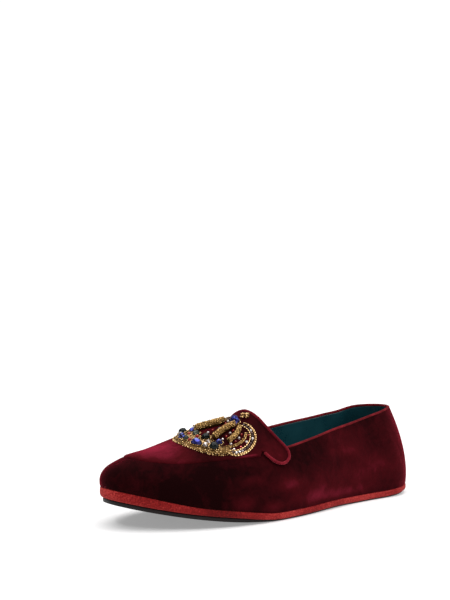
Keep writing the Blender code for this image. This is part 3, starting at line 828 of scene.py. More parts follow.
PAD_ROWS = (1.6, 3.0, 4.4)
VELVET_ROWS = (5.8, 7.2, 8.6, 10.0)
VELVET_ROWS_FROM = 9
STONE_ROOM = 0.9
BALL_SIDES = 8
BALL_PROFILE = [(0, -1), (0.71, -0.71), (1, 0), (0.71, 0.71), (0, 1)]
GOLD_DARK = (0.035, 0.016, 0.005)
GOLD_MIDDLE = (0.33, 0.185, 0.062)
GOLD_PALE = (0.95, 0.66, 0.32)
PAD_DARK = (0.08, 0.044, 0.014)
PAD_LIGHT = (0.20, 0.112, 0.035)

# Stones along the base: share of the base from the inner end, stone, size along, size across, height
STONES = [
    (0.080, "green", 6.4, 6.4, 3.6),
    (0.211, "clear", 4.0, 4.0, 2.4),
    (0.349, "blue", 7.6, 5.8, 3.4),
    (0.472, "grey", 5.2, 4.8, 2.8),
    (0.525, "red", 3.0, 3.0, 2.2),
    (0.637, "blue", 9.0, 6.2, 3.6),
    (0.784, "clear", 4.0, 4.0, 2.4),
    (0.916, "green", 6.6, 6.6, 3.8),
]

# Stones on the velvet over the base: stone, across, along, size along, size across, height
VELVET_STONES = [
    ("green", 6.0, 211.5, 6.4, 6.4, 3.6),
    ("grey", -6.0, 211.5, 5.6, 5.2, 3.0),
    ("blue", 16.4, 207.6, 5.8, 4.6, 3.0),
    ("blue", -16.4, 207.6, 5.8, 4.6, 3.0),
    ("clear", 11.8, 213.6, 3.2, 3.2, 2.0),
    ("red", -11.8, 213.6, 3.0, 3.0, 2.0),
    ("red", 0.0, 214.6, 2.8, 2.8, 2.0),
]


def apron_field():
    """Heights and normals of the apron's face over a flat grid of the crown's places.

    Newton steps in station and turn, held within limits, bring a point of the face over each place. turn is
    how far v falls short of the ridge, positive on the outer side.
    """
    spans = [np.arange(low, high + FIELD_STEP, FIELD_STEP) for low, high in (FIELD_ACROSS, FIELD_ALONG)]
    across, along = np.meshgrid(*spans, indexing="ij")
    goal = np.stack([CROWN_AXIS + across, along], -1)
    s = (along - HEEL_CENTRE) * LENGTH / (TOE_CENTRE - HEEL_CENTRE)
    turn = goal[..., 0] * TURN_GUESS / LENGTH
    ds, dt = 0.4, 0.004

    def place(s, turn):
        """Point of the last at a station and a turn."""
        return last(s, np.where(turn < 0, -1.0, 1.0), 1 - np.abs(turn))

    for _ in range(FIELD_ROUNDS):
        normal = last_normal(s, np.where(turn < 0, -1.0, 1.0), 1 - np.abs(turn))
        face = place(s, turn) + APRON_FACE * normal
        miss = goal - face[..., :2]
        by_s = (place(s + ds, turn) - place(s - ds, turn))[..., :2] / (2 * ds)
        by_t = (place(s, turn + dt) - place(s, turn - dt))[..., :2] / (2 * dt)
        area = by_s[..., 0] * by_t[..., 1] - by_s[..., 1] * by_t[..., 0]
        step_s = (miss[..., 0] * by_t[..., 1] - miss[..., 1] * by_t[..., 0]) / area
        step_t = (by_s[..., 0] * miss[..., 1] - by_s[..., 1] * miss[..., 0]) / area
        s = np.clip(s + np.clip(step_s, -STATION_STEP, STATION_STEP), *FIELD_STATIONS)
        turn = np.clip(turn + np.clip(step_t, -TURN_STEP, TURN_STEP), -FIELD_TURN, FIELD_TURN)
    return np.concatenate([face[..., 2:], normal], -1)


def on_apron(across, along):
    """Points and normals on the apron under places of the crown, mixed from the four grid points round."""
    across, along = np.broadcast_arrays(np.asarray(across, float), np.asarray(along, float))
    i = np.clip((across - FIELD_ACROSS[0]) / FIELD_STEP, 0, FIELD.shape[0] - FIELD_MARGIN)
    j = np.clip((along - FIELD_ALONG[0]) / FIELD_STEP, 0, FIELD.shape[1] - FIELD_MARGIN)
    i0, j0 = i.astype(int), j.astype(int)
    a, b = (i - i0)[..., None], (j - j0)[..., None]
    mixed = ((1 - a) * (1 - b) * FIELD[i0, j0] + a * (1 - b) * FIELD[i0 + 1, j0]
             + (1 - a) * b * FIELD[i0, j0 + 1] + a * b * FIELD[i0 + 1, j0 + 1])
    return np.stack([CROWN_AXIS + across, along, mixed[..., 0]], -1), unit(mixed[..., 1:])


def base_path(share):
    """Places along the crown's base, inner end (0) to outer (1): the trimmed toe half of a superellipse."""
    angle = math.pi * (1 - BASE_TRIM - (1 - 2 * BASE_TRIM) * np.asarray(share, float))
    across = BASE_HALF * np.sign(np.cos(angle)) * np.abs(np.cos(angle))**(2 / BASE_POWER)
    return across, BASE_ALONG + BASE_DEPTH * np.sin(angle)**(2 / BASE_POWER)


def beside_path(path, offset, pitch):
    """Places a pitch apart beside a path on the apron, at a sideways offset, with normals and directions."""
    points, normals = on_apron(*path)
    moved = points + unit(np.cross(np.gradient(points, axis=0), normals)) * offset
    points, normals = on_apron(moved[:, 0] - CROWN_AXIS, moved[:, 1])
    run = run_length(points)
    count = max(2, round(run[-1] / pitch))
    at = (np.arange(count) + 0.5) * run[-1] / count
    spread = [np.stack([np.interp(at, run, values[:, k]) for k in range(3)], -1)
              for values in (points, normals, np.gradient(points, axis=0))]
    return spread[0], unit(spread[1]), unit(spread[2])


def turned(profile, sides, skew=0.0):
    """Unit shape swept round its axis: rows of radius and height, every other row turned by a part step."""
    radius, height = np.asarray(profile, float).T
    step = 2 * math.pi / sides
    angle = np.arange(sides)[None, :] * step + (np.arange(len(radius)) % 2)[:, None] * step * skew
    points = np.stack([radius[:, None] * np.cos(angle), radius[:, None] * np.sin(angle),
                       np.broadcast_to(height[:, None], angle.shape)], -1)
    return points.reshape(-1, 3), grid_quads(len(radius), sides, around=True)


def set_many(shape, places, normals, aheads, sizes):
    """Copies of a unit shape: stretched to length, width and height, turned to ahead, beside and normal."""
    points, quads = shape
    ahead = unit(aheads - normals * (aheads * normals).sum(-1, keepdims=True))
    axes = np.stack([ahead, np.cross(normals, ahead), normals], 1)
    local = points[None] * np.broadcast_to(sizes, places.shape)[:, None, :]
    placed = places[:, None] + np.einsum("nmk,nkd->nmd", local, axes)
    starts = np.arange(len(places)) * len(points)
    return placed.reshape(-1, 3), (quads[None] + starts[:, None, None]).reshape(-1, 4)


def gold_work(name, stops, roughness):
    """Antique gold: pale to brown by each bead's own tone, each wire with painted light and shade along its
    twist, tarnished in clouds, with a satin metal shine.
    """
    made = new_material(name, {"Metallic": 1.0, "Roughness": roughness})
    place = object_place(made)
    lightness = sums(made, (mark_value(made, "tone"), 0.8), (noise(made, place, 320.0, 3.0), 0.4))
    feed(made, "Base Color", ramp(made, lightness, stops))
    feed(made, "Normal", bump(made, noise(made, place, 1800.0, 2.0), 0.0002, 0.4))
    return made


def add_beads(name, rows, gold, replaced=()):
    """Gold beads from rows of places, normals, directions and widths, each with its own tone and shift."""
    places, normals, aheads, widths = (np.concatenate(values) for values in zip(*rows))
    aheads = unit(aheads)
    places = places + normals * draw.uniform(-BEAD_STIR, BEAD_STIR, (len(places), 1))
    places = places + aheads * draw.uniform(-2 * BEAD_STIR, 2 * BEAD_STIR, (len(places), 1))
    tone = np.repeat(draw.random(len(places)), len(BALL[0]))
    beads = set_many(BALL, places, normals, aheads, widths[:, None] / 2)
    add_piece(name, beads, gold, replaced, marks={"tone": tone})


FIELD = apron_field()
BALL = turned(BALL_PROFILE, BALL_SIDES)
draw = np.random.default_rng(DRAW_SEED)
bead_gold = gold_work("bead_gold", [(0.15, GOLD_DARK), (0.52, GOLD_MIDDLE), (1.0, GOLD_PALE)], 0.22)
pad_cloth = gold_work("pad_cloth", [(0.1, PAD_DARK), (0.4, PAD_LIGHT)], 0.6)

base_fine = base_path(np.linspace(0, 1, BASE_POINTS))
base_long = base_path(np.linspace(-TAIL_SHARE, 1 + TAIL_SHARE, LONG_POINTS))
base_points, base_normals = on_apron(*base_fine)
pad = tube(base_points, base_normals, BASE_WIDTH, PAD_HEIGHT, PAD_LIFT, PAD_SIDES)
tail_points, tail_normals, _ = beside_path(base_long, TAIL_ASIDE, TAIL_STEP)
tail = tube(tail_points, tail_normals, TAIL_WIDTH, PAD_HEIGHT, PAD_LIFT, PAD_SIDES)
add_piece("base_pad", join([pad, tail]), pad_cloth, ["crown_base"])

stone_share = np.array([row[0] for row in STONES])
base_spots = on_apron(*base_path(stone_share))[0]
velvet_spots = on_apron(*np.array([row[1:3] for row in VELVET_STONES]).T)[0]
spots = np.concatenate([base_spots, velvet_spots])
spot_sizes = np.array([row[2:4] for row in STONES] + [row[3:5] for row in VELVET_STONES])
spot_radius = spot_sizes.sum(1) / 4
base_beads = []
for offset in TAIL_ROWS + PAD_ROWS + VELVET_ROWS:
    path = base_long if offset in TAIL_ROWS else base_fine
    places, normals, aheads = beside_path(path, offset, BEAD_PITCH)
    over_pad = math.sqrt(max(0.0, 1 - (2 * offset / BASE_WIDTH)**2))
    rise = max(BEAD_SIZE[0] / 2, PAD_LIFT + PAD_HEIGHT / 2 * (1 + over_pad) * (over_pad > 0))
    free = (np.linalg.norm(places[:, None] - spots, axis=-1) > spot_radius + STONE_ROOM).all(1)
    if offset in VELVET_ROWS:
        free &= places[:, 1] > BASE_ALONG + VELVET_ROWS_FROM
    widths = draw.uniform(*BEAD_SIZE, len(places))
    base_beads.append([values[free] for values in (places + normals * rise, normals, aheads, widths)])
add_beads("base_beads", base_beads, bead_gold)

# Ribs: curved arches of the crown, padded and covered lengthwise with rows of small gold beads.
# A thinner arch outside them is two rows of beads alone.
RIB_SIZES = [(3.3, 5.4), (2.9, 4.2)]
RIB_SIDES = 16
RIB_SINK = 0.3
RIB_POINTS = 61
RIB_ROWS = np.radians(np.linspace(-96.0, 96.0, 9))
RIB_BEAD = 1.05
RIB_BEAD_PITCH = 1.15
RIB_BEAD_SPREAD = (0.8, 1.1)
EDGE_BEAD = 1.2
ROW_PITCH = 1.12
ROW_RISE = 0.45
CORD_STEP = 0.25
RIB_DARK = (0.09, 0.046, 0.014)
RIB_MIDDLE = (0.36, 0.21, 0.072)
RIB_PALE = (0.74, 0.48, 0.19)

# Arches, one of each on both sides of the axis: start, two pull points, end
RIB = [(11.8, 209.0), (9.5, 202.0), (5.2, 193.0), (6.0, 185.0)]
SIDE_RIB = [(19.0, 201.5), (17.8, 196.0), (14.6, 188.5), (10.2, 184.4)]
BEAD_RIB = [(22.6, 203.5), (23.6, 195.0), (21.5, 187.0), (16.0, 182.6)]
RIM = [(26.3, 203.0), (29.5, 198.5), (26.9, 171.6), (7.2, 179.2)]


def bend(points, side, t):
    """Places along a cubic from its four control points, on one side of the axis."""
    t = np.asarray(t, float)[:, None]
    a, b, c, d = np.array(points, float)
    place = a * (1 - t)**3 + 3 * b * t * (1 - t)**2 + 3 * c * t * t * (1 - t) + d * t**3
    return side * place[:, 0], place[:, 1]


def bead_row(path, offset, width):
    """Row of touching beads on the velvet beside a path."""
    places, normals, aheads = beside_path(path, offset, width * ROW_PITCH)
    return places + normals * width * ROW_RISE, normals, aheads, np.full(len(places), width)


rib_gold = gold_work("rib_gold", [(0.15, RIB_DARK), (0.52, RIB_MIDDLE), (1.0, RIB_PALE)], 0.34)
fine = np.linspace(0, 1, RIB_POINTS)
rib_pads, rib_beads = [], []
for side in (1, -1):
    for rib, (width, height) in zip((RIB, SIDE_RIB), RIB_SIZES):
        path = bend(rib, side, fine)
        places, normals, _ = beside_path(path, 0.0, CORD_STEP)
        rib_pads.append(tube(places, normals, width, height, -RIB_SINK, RIB_SIDES))
        places, normals, aheads = beside_path(path, 0.0, RIB_BEAD * RIB_BEAD_PITCH)
        besides = np.cross(aheads, normals)
        for angle in RIB_ROWS:
            on_pad = (besides * (width / 2 * math.sin(angle))
                      + normals * (height / 2 * (1 + math.cos(angle)) - RIB_SINK))
            widths = draw.uniform(*RIB_BEAD_SPREAD, len(places)) * RIB_BEAD
            rib_beads.append((places + on_pad, normals, aheads, widths))
    rib_beads += [bead_row(bend(BEAD_RIB, side, fine), aside * EDGE_BEAD / 2, EDGE_BEAD) for aside in (-1, 1)]
add_piece("rib_pads", join(rib_pads), pad_cloth,
          ["crown_rib_outer", "crown_rib_inner", "crown_side_rib_outer", "crown_side_rib_inner"])
add_beads("rib_beads", rib_beads, rib_gold)

# Rims and windows: the outer arches are rows of cut crystals, clear and smoky, edged with gold beads and
# thin wire. Single crystals, clear and rosy, are glued on the velvet between the ribs.
CRYSTAL = 2.2
CRYSTAL_PITCH = 2.7
CRYSTAL_SHAPE = (0.5, 0.5, 0.55)
SMOKY_SHARE = 0.72
WIRE = 0.9
WIRE_SIDES = 8
WIRE_LAY = 2.4
WIRE_STRANDS = 2
WIRE_DEPTH = 0.2
WIRES_ASIDE = (1.7, -2.6)
RIM_BEAD = 1.3
RIM_BEADS_ASIDE = -1.7
RIM_START = -0.2
RIM_POINTS = 81
WINDOW_SHARES = (0.12, 0.34, 0.56, 0.78)
WINDOW_CRYSTALS = (2.1, 1.7, 2.2, 1.8)
WINDOW_AHEAD = (0.3, 1.0, 0.0)
CUT_SIDES = 8
CUT_SKEW = 0.5

# Profile of a cut stone, and of a crystal: radius, height
CUT = [(0, 0), (1, 0), (1, 0.35), (0.72, 0.8), (0.40, 1.0), (0, 1.0)]

# Crystals near the crown's axis: across, along
AXIS_CRYSTALS = [(0.5, 205.5), (-0.8, 200.5), (0.9, 195.5), (-0.5, 190.5),
                 (-6.8, 182.0), (-3.6, 186.4), (4.4, 187.2)]

# Glass of the crystals: dark colour, light colour, metallic share, gloss
CRYSTAL_GLASSES = {
    "clear": ((0.16, 0.12, 0.11), (0.90, 0.82, 0.79), 0.7, 0.6),
    "smoky": ((0.020, 0.008, 0.006), (0.12, 0.060, 0.05), 0.7, 0.3),
    "rosy": ((0.16, 0.008, 0.006), (0.52, 0.035, 0.025), 0.3, 0.4),
}


def cut_glass(name, dark, light, metallic, gloss):
    """Foil-backed glass: clouds of its own colour, a hard gloss and a clear coat that catches the lights."""
    made = new_material(name, {"Metallic": metallic, "Roughness": 0.06, "Specular IOR Level": gloss,
                               "Coat Weight": gloss, "Coat Roughness": 0.03})
    depth = noise(made, object_place(made), 420.0, 2.0)
    feed(made, "Base Color", ramp(made, depth, [(0.35, dark), (0.65, light)]))
    return made


def rope(lay, strands, depth):
    """Radius factor of a laid rope: one lobe for each strand, turning once for each lay along the run."""
    return lambda run, angle: 1 + depth * np.cos(strands * (angle - 2 * math.pi * run / lay))


def couched(path, offset, width, twist):
    """Closed wire along a path on the apron, at a sideways offset."""
    places, normals, _ = beside_path(path, offset, CORD_STEP)
    return tube(places, normals, width, width, 0.0, WIRE_SIDES, twist)


crystal = turned(CUT, CUT_SIDES, CUT_SKEW)
crystal_glass = {kind: cut_glass(kind + "_glass", *look) for kind, look in CRYSTAL_GLASSES.items()}
twist = rope(WIRE_LAY, WIRE_STRANDS, WIRE_DEPTH)
rim_rows, rim_wires, rim_beads, window_rows = [], [], [], []
for side in (1, -1):
    path = bend(RIM, side, np.linspace(RIM_START, 1, RIM_POINTS))
    rim_rows.append(beside_path(path, 0.0, CRYSTAL_PITCH))
    rim_wires += [couched(path, side * offset, WIRE, twist) for offset in WIRES_ASIDE]
    rim_beads.append(bead_row(path, side * RIM_BEADS_ASIDE, RIM_BEAD))
    for first, second in ((RIB, SIDE_RIB), (SIDE_RIB, BEAD_RIB), (BEAD_RIB, RIM)):
        one, two = bend(first, side, WINDOW_SHARES), bend(second, side, WINDOW_SHARES)
        window_rows.append(on_apron((one[0] + two[0]) / 2, (one[1] + two[1]) / 2))
window_rows.append(on_apron(*np.array(AXIS_CRYSTALS).T))
# The wires' tone is painted light and shade: a lighter and a darker band along the twist for each lay.
wire_rings = np.arange(sum(len(points) for points, _ in rim_wires))
wire_twist_shade = 0.5 + 0.5 * np.sin(np.repeat(wire_rings, WIRE_SIDES) * 2 * math.pi * CORD_STEP / WIRE_LAY)
add_piece("rim_wires", join(rim_wires), bead_gold, marks={"tone": wire_twist_shade})
add_beads("rim_beads", rim_beads, bead_gold)
rim_places, rim_normals, rim_aheads = (np.concatenate(values) for values in zip(*rim_rows))
window_places, window_normals = (np.concatenate(values) for values in zip(*window_rows))
places = np.concatenate([rim_places, window_places])
normals = np.concatenate([rim_normals, window_normals])
aheads = np.concatenate([rim_aheads, np.broadcast_to(WINDOW_AHEAD, window_places.shape)])
widths = np.concatenate([np.full(len(rim_places), CRYSTAL), np.resize(WINDOW_CRYSTALS, len(window_places))])
sizes = widths[:, None] * CRYSTAL_SHAPE
smoky = np.concatenate([draw.random(len(rim_places)) < SMOKY_SHARE, np.zeros(len(window_places), bool)])
rosy = np.concatenate([np.zeros(len(rim_places), bool), np.arange(len(window_places)) % 2 == 1])
for kind, chosen, slot, replaced in (("clear", ~smoky & ~rosy, "stone_clear", ["crown_rim_outer"]),
                                     ("smoky", smoky, "stone_clear", ["crown_rim_inner"]),
                                     ("rosy", rosy, "stone_red", [])):
    crystals = set_many(crystal, places[chosen], normals[chosen], aheads[chosen], sizes[chosen])
    add_piece(kind + "_crystals", crystals, crystal_glass[kind], replaced, smooth=False)

# Stones: cut glass and smooth cabochons glued on the base and the velvet, each in a ring of gold beads.
# A large blue stone, the orb, closes the arches at the top.
STONE_LIFT = 1.5
ORB_PLACE = (0.5, 181.0)
ORB_SIZE = (7.6, 7.6, 5.8)
STONE_SHAPE = (0.5, 0.5, 1.0)
NUMBERED_STONES = 10
SHARE_STEP = 0.01
SETTING_BEAD = 1.0
SETTING_RISE = 0.35
DOME_SIDES = 20

# Profile of a cabochon: radius, height
DOME = [(0, 0), (1, 0), (1, 0.2), (0.94, 0.5), (0.75, 0.8), (0.4, 0.96), (0, 1)]

# Glass of each stone: dark colour, light colour, metallic share, gloss, cut or dome
GLASSES = {
    "blue": ((0.004, 0.005, 0.045), (0.045, 0.055, 0.40), 0.9, 0.6, "cut"),
    "green": ((0.0003, 0.001, 0.0008), (0.0015, 0.005, 0.004), 0.0, 0.12, "dome"),
    "grey": ((0.010, 0.014, 0.011), (0.07, 0.085, 0.07), 0.4, 0.16, "cut"),
    "red": ((0.12, 0.005, 0.004), (0.36, 0.022, 0.016), 0.0, 0.2, "dome"),
}
SHAPES = {"cut": crystal, "dome": turned(DOME, DOME_SIDES)}

glasses = {"clear": (crystal_glass["clear"], "cut")}
for kind, (*look, form) in GLASSES.items():
    glasses[kind] = (cut_glass(kind + "_glass", *look), form)
stone_points, stone_normals = on_apron(*base_path(stone_share))
before, after = (on_apron(*base_path(stone_share + step))[0] for step in (-SHARE_STEP, SHARE_STEP))
loose_places = np.array([row[1:3] for row in VELVET_STONES] + [ORB_PLACE])
loose_points, loose_normals = on_apron(*loose_places.T)
kinds = np.array([row[1] for row in STONES] + [row[0] for row in VELVET_STONES] + ["blue"])
places = np.concatenate([stone_points + stone_normals * STONE_LIFT, loose_points])
normals = np.concatenate([stone_normals, loose_normals])
aheads = np.concatenate([unit(after - before), np.broadcast_to((0.0, 1.0, 0.0), loose_points.shape)])
sizes = np.array([row[2:] for row in STONES] + [row[3:] for row in VELVET_STONES] + [ORB_SIZE])

# CAD nodes in the stones' order: the numbered ones, none for stones of the scene alone, the orb
nodes = ["crown_stone_%02d" % number for number in range(1, NUMBERED_STONES + 1)]
nodes += [None] * (len(kinds) - NUMBERED_STONES - 1) + ["crown_orb"]
for kind in ("blue", "green", "grey", "red", "clear"):
    glass, form = glasses[kind]
    chosen = np.flatnonzero(kinds == kind)
    scales = sizes[chosen] * STONE_SHAPE
    stones = set_many(SHAPES[form], places[chosen], normals[chosen], aheads[chosen], scales)
    replaced = [nodes[k] for k in chosen if nodes[k]]
    add_piece(kind + "_stones", stones, glass, replaced, smooth=form == "dome")

settings = []
for place, normal, ahead, (length, width, _) in zip(places, normals, aheads, sizes):
    ahead = unit(ahead - normal * ahead.dot(normal))
    count = round(math.pi * (length + width + 2 * SETTING_BEAD) / 2 / SETTING_BEAD)
    angle = np.arange(count) * 2 * math.pi / count
    ring = (ahead * ((length + SETTING_BEAD) / 2 * np.cos(angle))[:, None]
            + np.cross(normal, ahead) * ((width + SETTING_BEAD) / 2 * np.sin(angle))[:, None])
    settings.append((place + ring + normal * SETTING_RISE, np.broadcast_to(normal, ring.shape), ring,
                     np.full(count, SETTING_BEAD)))
add_beads("stone_settings", settings, bead_gold)

# Cross: a small cross of gold beads sewn close together at the top of the crown, above the orb.
# Larger beads sit together in the middle, two run out along each arm, three close its end and one
# fills each corner.
CROSS_PLACE = (0.8, 171.5)
CROSS_LIFT = 1.1

# Beads of one arm: distance out, distance aside, width
CROSS_BEADS = [
    (0.0, 0.0, 2.4),
    (1.7, 0.0, 1.7),
    (3.0, 0.0, 1.7),
    (3.0, 1.25, 1.3),
    (3.0, -1.25, 1.3),
    (4.1, 0.0, 1.2),
    (1.3, 1.3, 1.2),
]

cross_point, cross_normal = on_apron(*np.array([CROSS_PLACE]).T)
cross_along = unit(np.array([0.0, 1.0, 0.0]) - cross_normal[0] * cross_normal[0][1])
cross_beside = np.cross(cross_along, cross_normal[0])
out, aside, widths = np.array(CROSS_BEADS).T
quarter = np.arange(4)[:, None] * math.pi / 2
ahead = (np.cos(quarter) * out - np.sin(quarter) * aside).ravel()
beside = (np.sin(quarter) * out + np.cos(quarter) * aside).ravel()
widths = np.tile(widths, 4)
bead_places = (cross_point + cross_along * ahead[:, None] + cross_beside * beside[:, None]
               + cross_normal * (CROSS_LIFT + widths / 2)[:, None])
cross_normals, cross_aheads = (np.broadcast_to(one, bead_places.shape) for one in (cross_normal, cross_along))
add_beads("cross_beads", [(bead_places, cross_normals, cross_aheads, widths)], bead_gold, ["crown_cross"])

# Piping: a red velvet-covered cord, 2.2 mm thick, sewn round the apron's throat edge and both ears.
# It starts and ends in a small hook where each ear turns back into the apron's seam.
PIPING = 2.2
PIPING_LIFT = 0.4
PIPING_OVERLAP = 0.4
EAR_POINTS = 90
THROAT_POINTS = 90
PIPING_SIDES = 12
CORD_DARK = (0.08, 0.004, 0.008)
CORD_LIGHT = (0.23, 0.016, 0.026)
CORD_BRIGHT = (0.32, 0.024, 0.036)
CORD_GLOW = (0.95, 0.14, 0.2)


def apron_border(side):
    """Points and normals of the apron's free edge: from the ear's hook, round the ear, up to the centre."""
    ear_s, ear_v = apron_place(np.linspace(EAR_SHARE, 0, EAR_POINTS), np.zeros(EAR_POINTS))
    edge_s, edge_v = apron_place(np.zeros(THROAT_POINTS), np.linspace(0, 1, THROAT_POINTS))
    s, v = np.concatenate([ear_s, edge_s[1:]]), np.concatenate([ear_v, edge_v[1:]])
    return last(s, side, v), last_normal(s, side, v)


cord_velvet = velvet_pile("cord_velvet", CORD_DARK, CORD_LIGHT, CORD_BRIGHT, CORD_GLOW)
outer_path, outer_normal = apron_border(1.0)
inner_path, inner_normal = apron_border(-1.0)
piping_path = np.concatenate([outer_path, inner_path[-2::-1]])
piping_normal = np.concatenate([outer_normal, inner_normal[-2::-1]])
aside = unit(np.cross(piping_normal, np.gradient(piping_path, axis=0)))
piping_path = piping_path + aside * (PIPING / 2 - PIPING_OVERLAP)
piping_tube = tube(piping_path, piping_normal, PIPING, PIPING, PIPING_LIFT, PIPING_SIDES)
add_piece("piping_cord", join([piping_tube]), cord_velvet, ["apron_piping"])

# Sole band: the edge of the sole, wrapped in red suede, its rounded face a little proud of the upper.
# The suede is glued over a board and has a coarse nap with paler worn grains.
BAND_ROWS = 21
BAND_POWER = 0.6
SUEDE_DARK = (0.07, 0.003, 0.003)
SUEDE_MIDDLE = (0.20, 0.009, 0.009)
SUEDE_PALE = (0.47, 0.052, 0.044)
SUEDE_GLOW = (1.0, 0.25, 0.25)

# Painted light and shade along the band: lighter stretches at the toe, near the ball and at the heel, a
# darker one under the forefoot: along, half length, weight
BAND_PAINTED_LIGHT = [
    (290.0, 16.0, 0.10),
    (222.0, 26.0, -0.15),
    (158.0, 14.0, 0.06),
    (50.0, 45.0, 0.07),
]

# Band edge from the outsole up: inset from the outline at the foot, at the widest place and at the upper
BAND_INSETS = (2.6, -0.2, 0.35)


def band_profile():
    """Rounded face: insets at foot, belly and top, joined by a low power of the cosine."""
    turn = np.linspace(-math.pi / 2, math.pi / 2, BAND_ROWS)
    foot, belly, top = BAND_INSETS
    inset = belly + (np.where(turn < 0, foot, top) - belly) * (1 - np.clip(np.cos(turn), 0, 1)**BAND_POWER)
    return np.column_stack([inset, (1 + np.sin(turn)) / 2])


def red_suede(name):
    """Brushed suede: red with paler grains and dark pits, broad faint patches, painted light and shade along
    the band, matt with a short rosy nap.
    """
    made = new_material(name, {"Roughness": 0.95, "Specular IOR Level": 0.08, "Sheen Weight": 0.15,
                               "Sheen Roughness": 0.5, "Sheen Tint": SUEDE_GLOW})
    place = object_place(made)
    grains = noise(made, place, 900.0, 2.0, 0.7)
    patches = noise(made, place, 55.0, 3.0)
    # The band's mark paints light and shade along it: lighter where light falls, darker under the forefoot.
    lightness = sums(made, (grains, 0.70), (patches, 0.40), (mark_value(made, "lightness_shift"), 1.0))
    stops = [(0.32, SUEDE_DARK), (0.56, SUEDE_MIDDLE), (0.80, SUEDE_PALE)]
    feed(made, "Base Color", ramp(made, lightness, stops))
    feed(made, "Normal", bump(made, grains, 0.0005, 0.7))
    return made


suede = red_suede("red_suede")
band = slab(band_foot, feather_height, band_profile(), SOLE_STATIONS)
band_painted_light = sum(weight * np.exp(-((band[0][:, 1] - along) / half)**2) for along, half, weight in BAND_PAINTED_LIGHT)
add_piece("suede_band", band, suede, ["sole_band"], marks={"lightness_shift": band_painted_light})

# Outsole: a thin sole of matt black rubber under the wrapped band, set in 2 mm and thinner at the rear.
# It is glued on last and carries the shoe.
SOLE_BLACK = (0.005, 0.003, 0.003)
SOLE_SCUFFED = (0.015, 0.010, 0.010)

# Outsole edge: inset, share of its thickness
OUTSOLE_PROFILE = [
    (2.9, 0.0),
    (2.25, 0.06),
    (2.0, 0.25),
    (2.0, 0.75),
    (2.15, 0.92),
]


def black_rubber(name):
    """Matt sole rubber: black with grey scuffs in broad patches, a fine grain and a dull shine."""
    made = new_material(name, {"Specular IOR Level": 0.15})
    place = object_place(made)
    scuffs = noise(made, place, 70.0, 5.0, 0.65)
    feed(made, "Base Color", ramp(made, scuffs, [(0.35, SOLE_BLACK), (0.75, SOLE_SCUFFED)]))
    feed(made, "Roughness", sums(made, (scuffs, 0.85)))
    feed(made, "Normal", bump(made, noise(made, place, 1500.0, 2.0), 0.0003, 0.4))
    return made


outsole = slab(ground, band_foot, OUTSOLE_PROFILE, SOLE_STATIONS)
add_piece("black_outsole", outsole, black_rubber("black_rubber"), ["outsole"])

# Floor, light and camera: a plain white floor under soft boxes, seen from the outer side of the toe.
# The camera stands 0.7 m away, its eye a little above the shoe and its view nearly level.
FLOOR_HALF = 6.0
FLOOR_GLOW = 0.3
ROOM_LIGHT = 0.3
ROOM_WHITE = 1.05
SKY_LIGHT = 3.4
SKY_ANGLE = 80.0
WHITE = (1.0, 1.0, 1.0)
FLOOR_GREY = (0.65, 0.65, 0.65)

# Soft boxes: name, place and target in metres, size, power
SOFT_BOXES = [
    ("right_box", (0.9, 0.9, 0.7), (0.0, 0.0, 0.04), 0.8, 8.0),
    ("small_box", (0.35, -0.8, 0.8), (0.0, -0.05, 0.05), 0.12, 2.2),
]

# Camera: eye in millimetres from the station EYE_ORIGIN of the foot, turn and tilt in degrees, lens, sensor
EYE = (556.2, -456.6, 141.7)
EYE_ORIGIN = 141.5
AZIMUTH = 53.32
ELEVATION = -1.52
LENS = 55.11
SENSOR = 36.0


def aim(thing, place, back):
    """Adds a light or the camera at a place in metres, its back along a unit vector, its right side level."""
    right = unit(np.cross((0.0, 0.0, 1.0), back))
    axes = np.column_stack([right, np.cross(back, right), back])
    thing.matrix_world = Matrix.Translation(place) @ Matrix(axes.tolist()).to_4x4()
    bpy.context.collection.objects.link(thing)


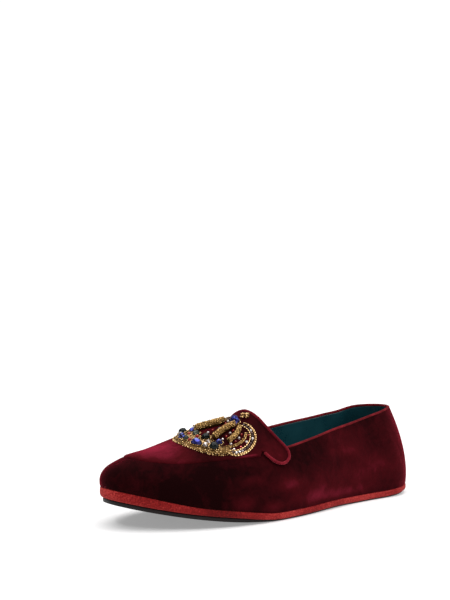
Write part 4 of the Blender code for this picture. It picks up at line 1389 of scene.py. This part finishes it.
floor_mesh = bpy.data.meshes.new("floor")
floor_mesh.from_pydata([(x, y, 0.0) for x, y in ((-1, -1), (1, -1), (1, 1), (-1, 1))], [], [(0, 1, 2, 3)])
floor_mesh.transform(Matrix.Scale(FLOOR_HALF, 4))
floor_look = {"Base Color": FLOOR_GREY, "Roughness": 0.9, "Specular IOR Level": 0.0,
              "Emission Color": WHITE, "Emission Strength": FLOOR_GLOW}
floor_mesh.materials.append(new_material("white_floor", floor_look))
floor = bpy.data.objects.new("floor", floor_mesh)
bpy.context.collection.objects.link(floor)

world_light = bpy.data.worlds.new("white_room")
world_light.use_nodes = True
room = world_light.node_tree
rays = room.nodes.new("ShaderNodeLightPath")
strength = room.nodes.new("ShaderNodeMapRange")
strength.inputs["To Min"].default_value = ROOM_LIGHT
strength.inputs["To Max"].default_value = ROOM_WHITE
room.links.new(rays.outputs["Is Camera Ray"], strength.inputs["Value"])
room.links.new(strength.outputs["Result"], room.nodes["Background"].inputs["Strength"])
room.nodes["Background"].inputs["Color"].default_value = (*WHITE, 1.0)
bpy.context.scene.world = world_light
bpy.context.scene.view_settings.view_transform = "Standard"

sun = bpy.data.lights.new("sky_light", "SUN")
sun.energy = SKY_LIGHT
sun.angle = math.radians(SKY_ANGLE)
sky = bpy.data.objects.new("sky_light", sun)
bpy.context.collection.objects.link(sky)
for name, place, target, size, power in SOFT_BOXES:
    light = bpy.data.lights.new(name, "AREA")
    light.size = size
    light.energy = power
    aim(bpy.data.objects.new(name, light), place, unit(np.array(place) - np.array(target)))

azimuth, elevation = np.radians([AZIMUTH, ELEVATION])
back = np.array([math.sin(azimuth) * math.cos(elevation), -math.cos(azimuth) * math.cos(elevation),
                 math.sin(elevation)])
eye = (np.array(EYE) + (-MID_X, MID_ALONG - EYE_ORIGIN, 0.0)) * MM
camera_data = bpy.data.cameras.new("camera")
camera_data.lens = LENS
camera_data.sensor_width = SENSOR
camera = bpy.data.objects.new("camera", camera_data)
aim(camera, eye, back)
bpy.context.scene.camera = camera
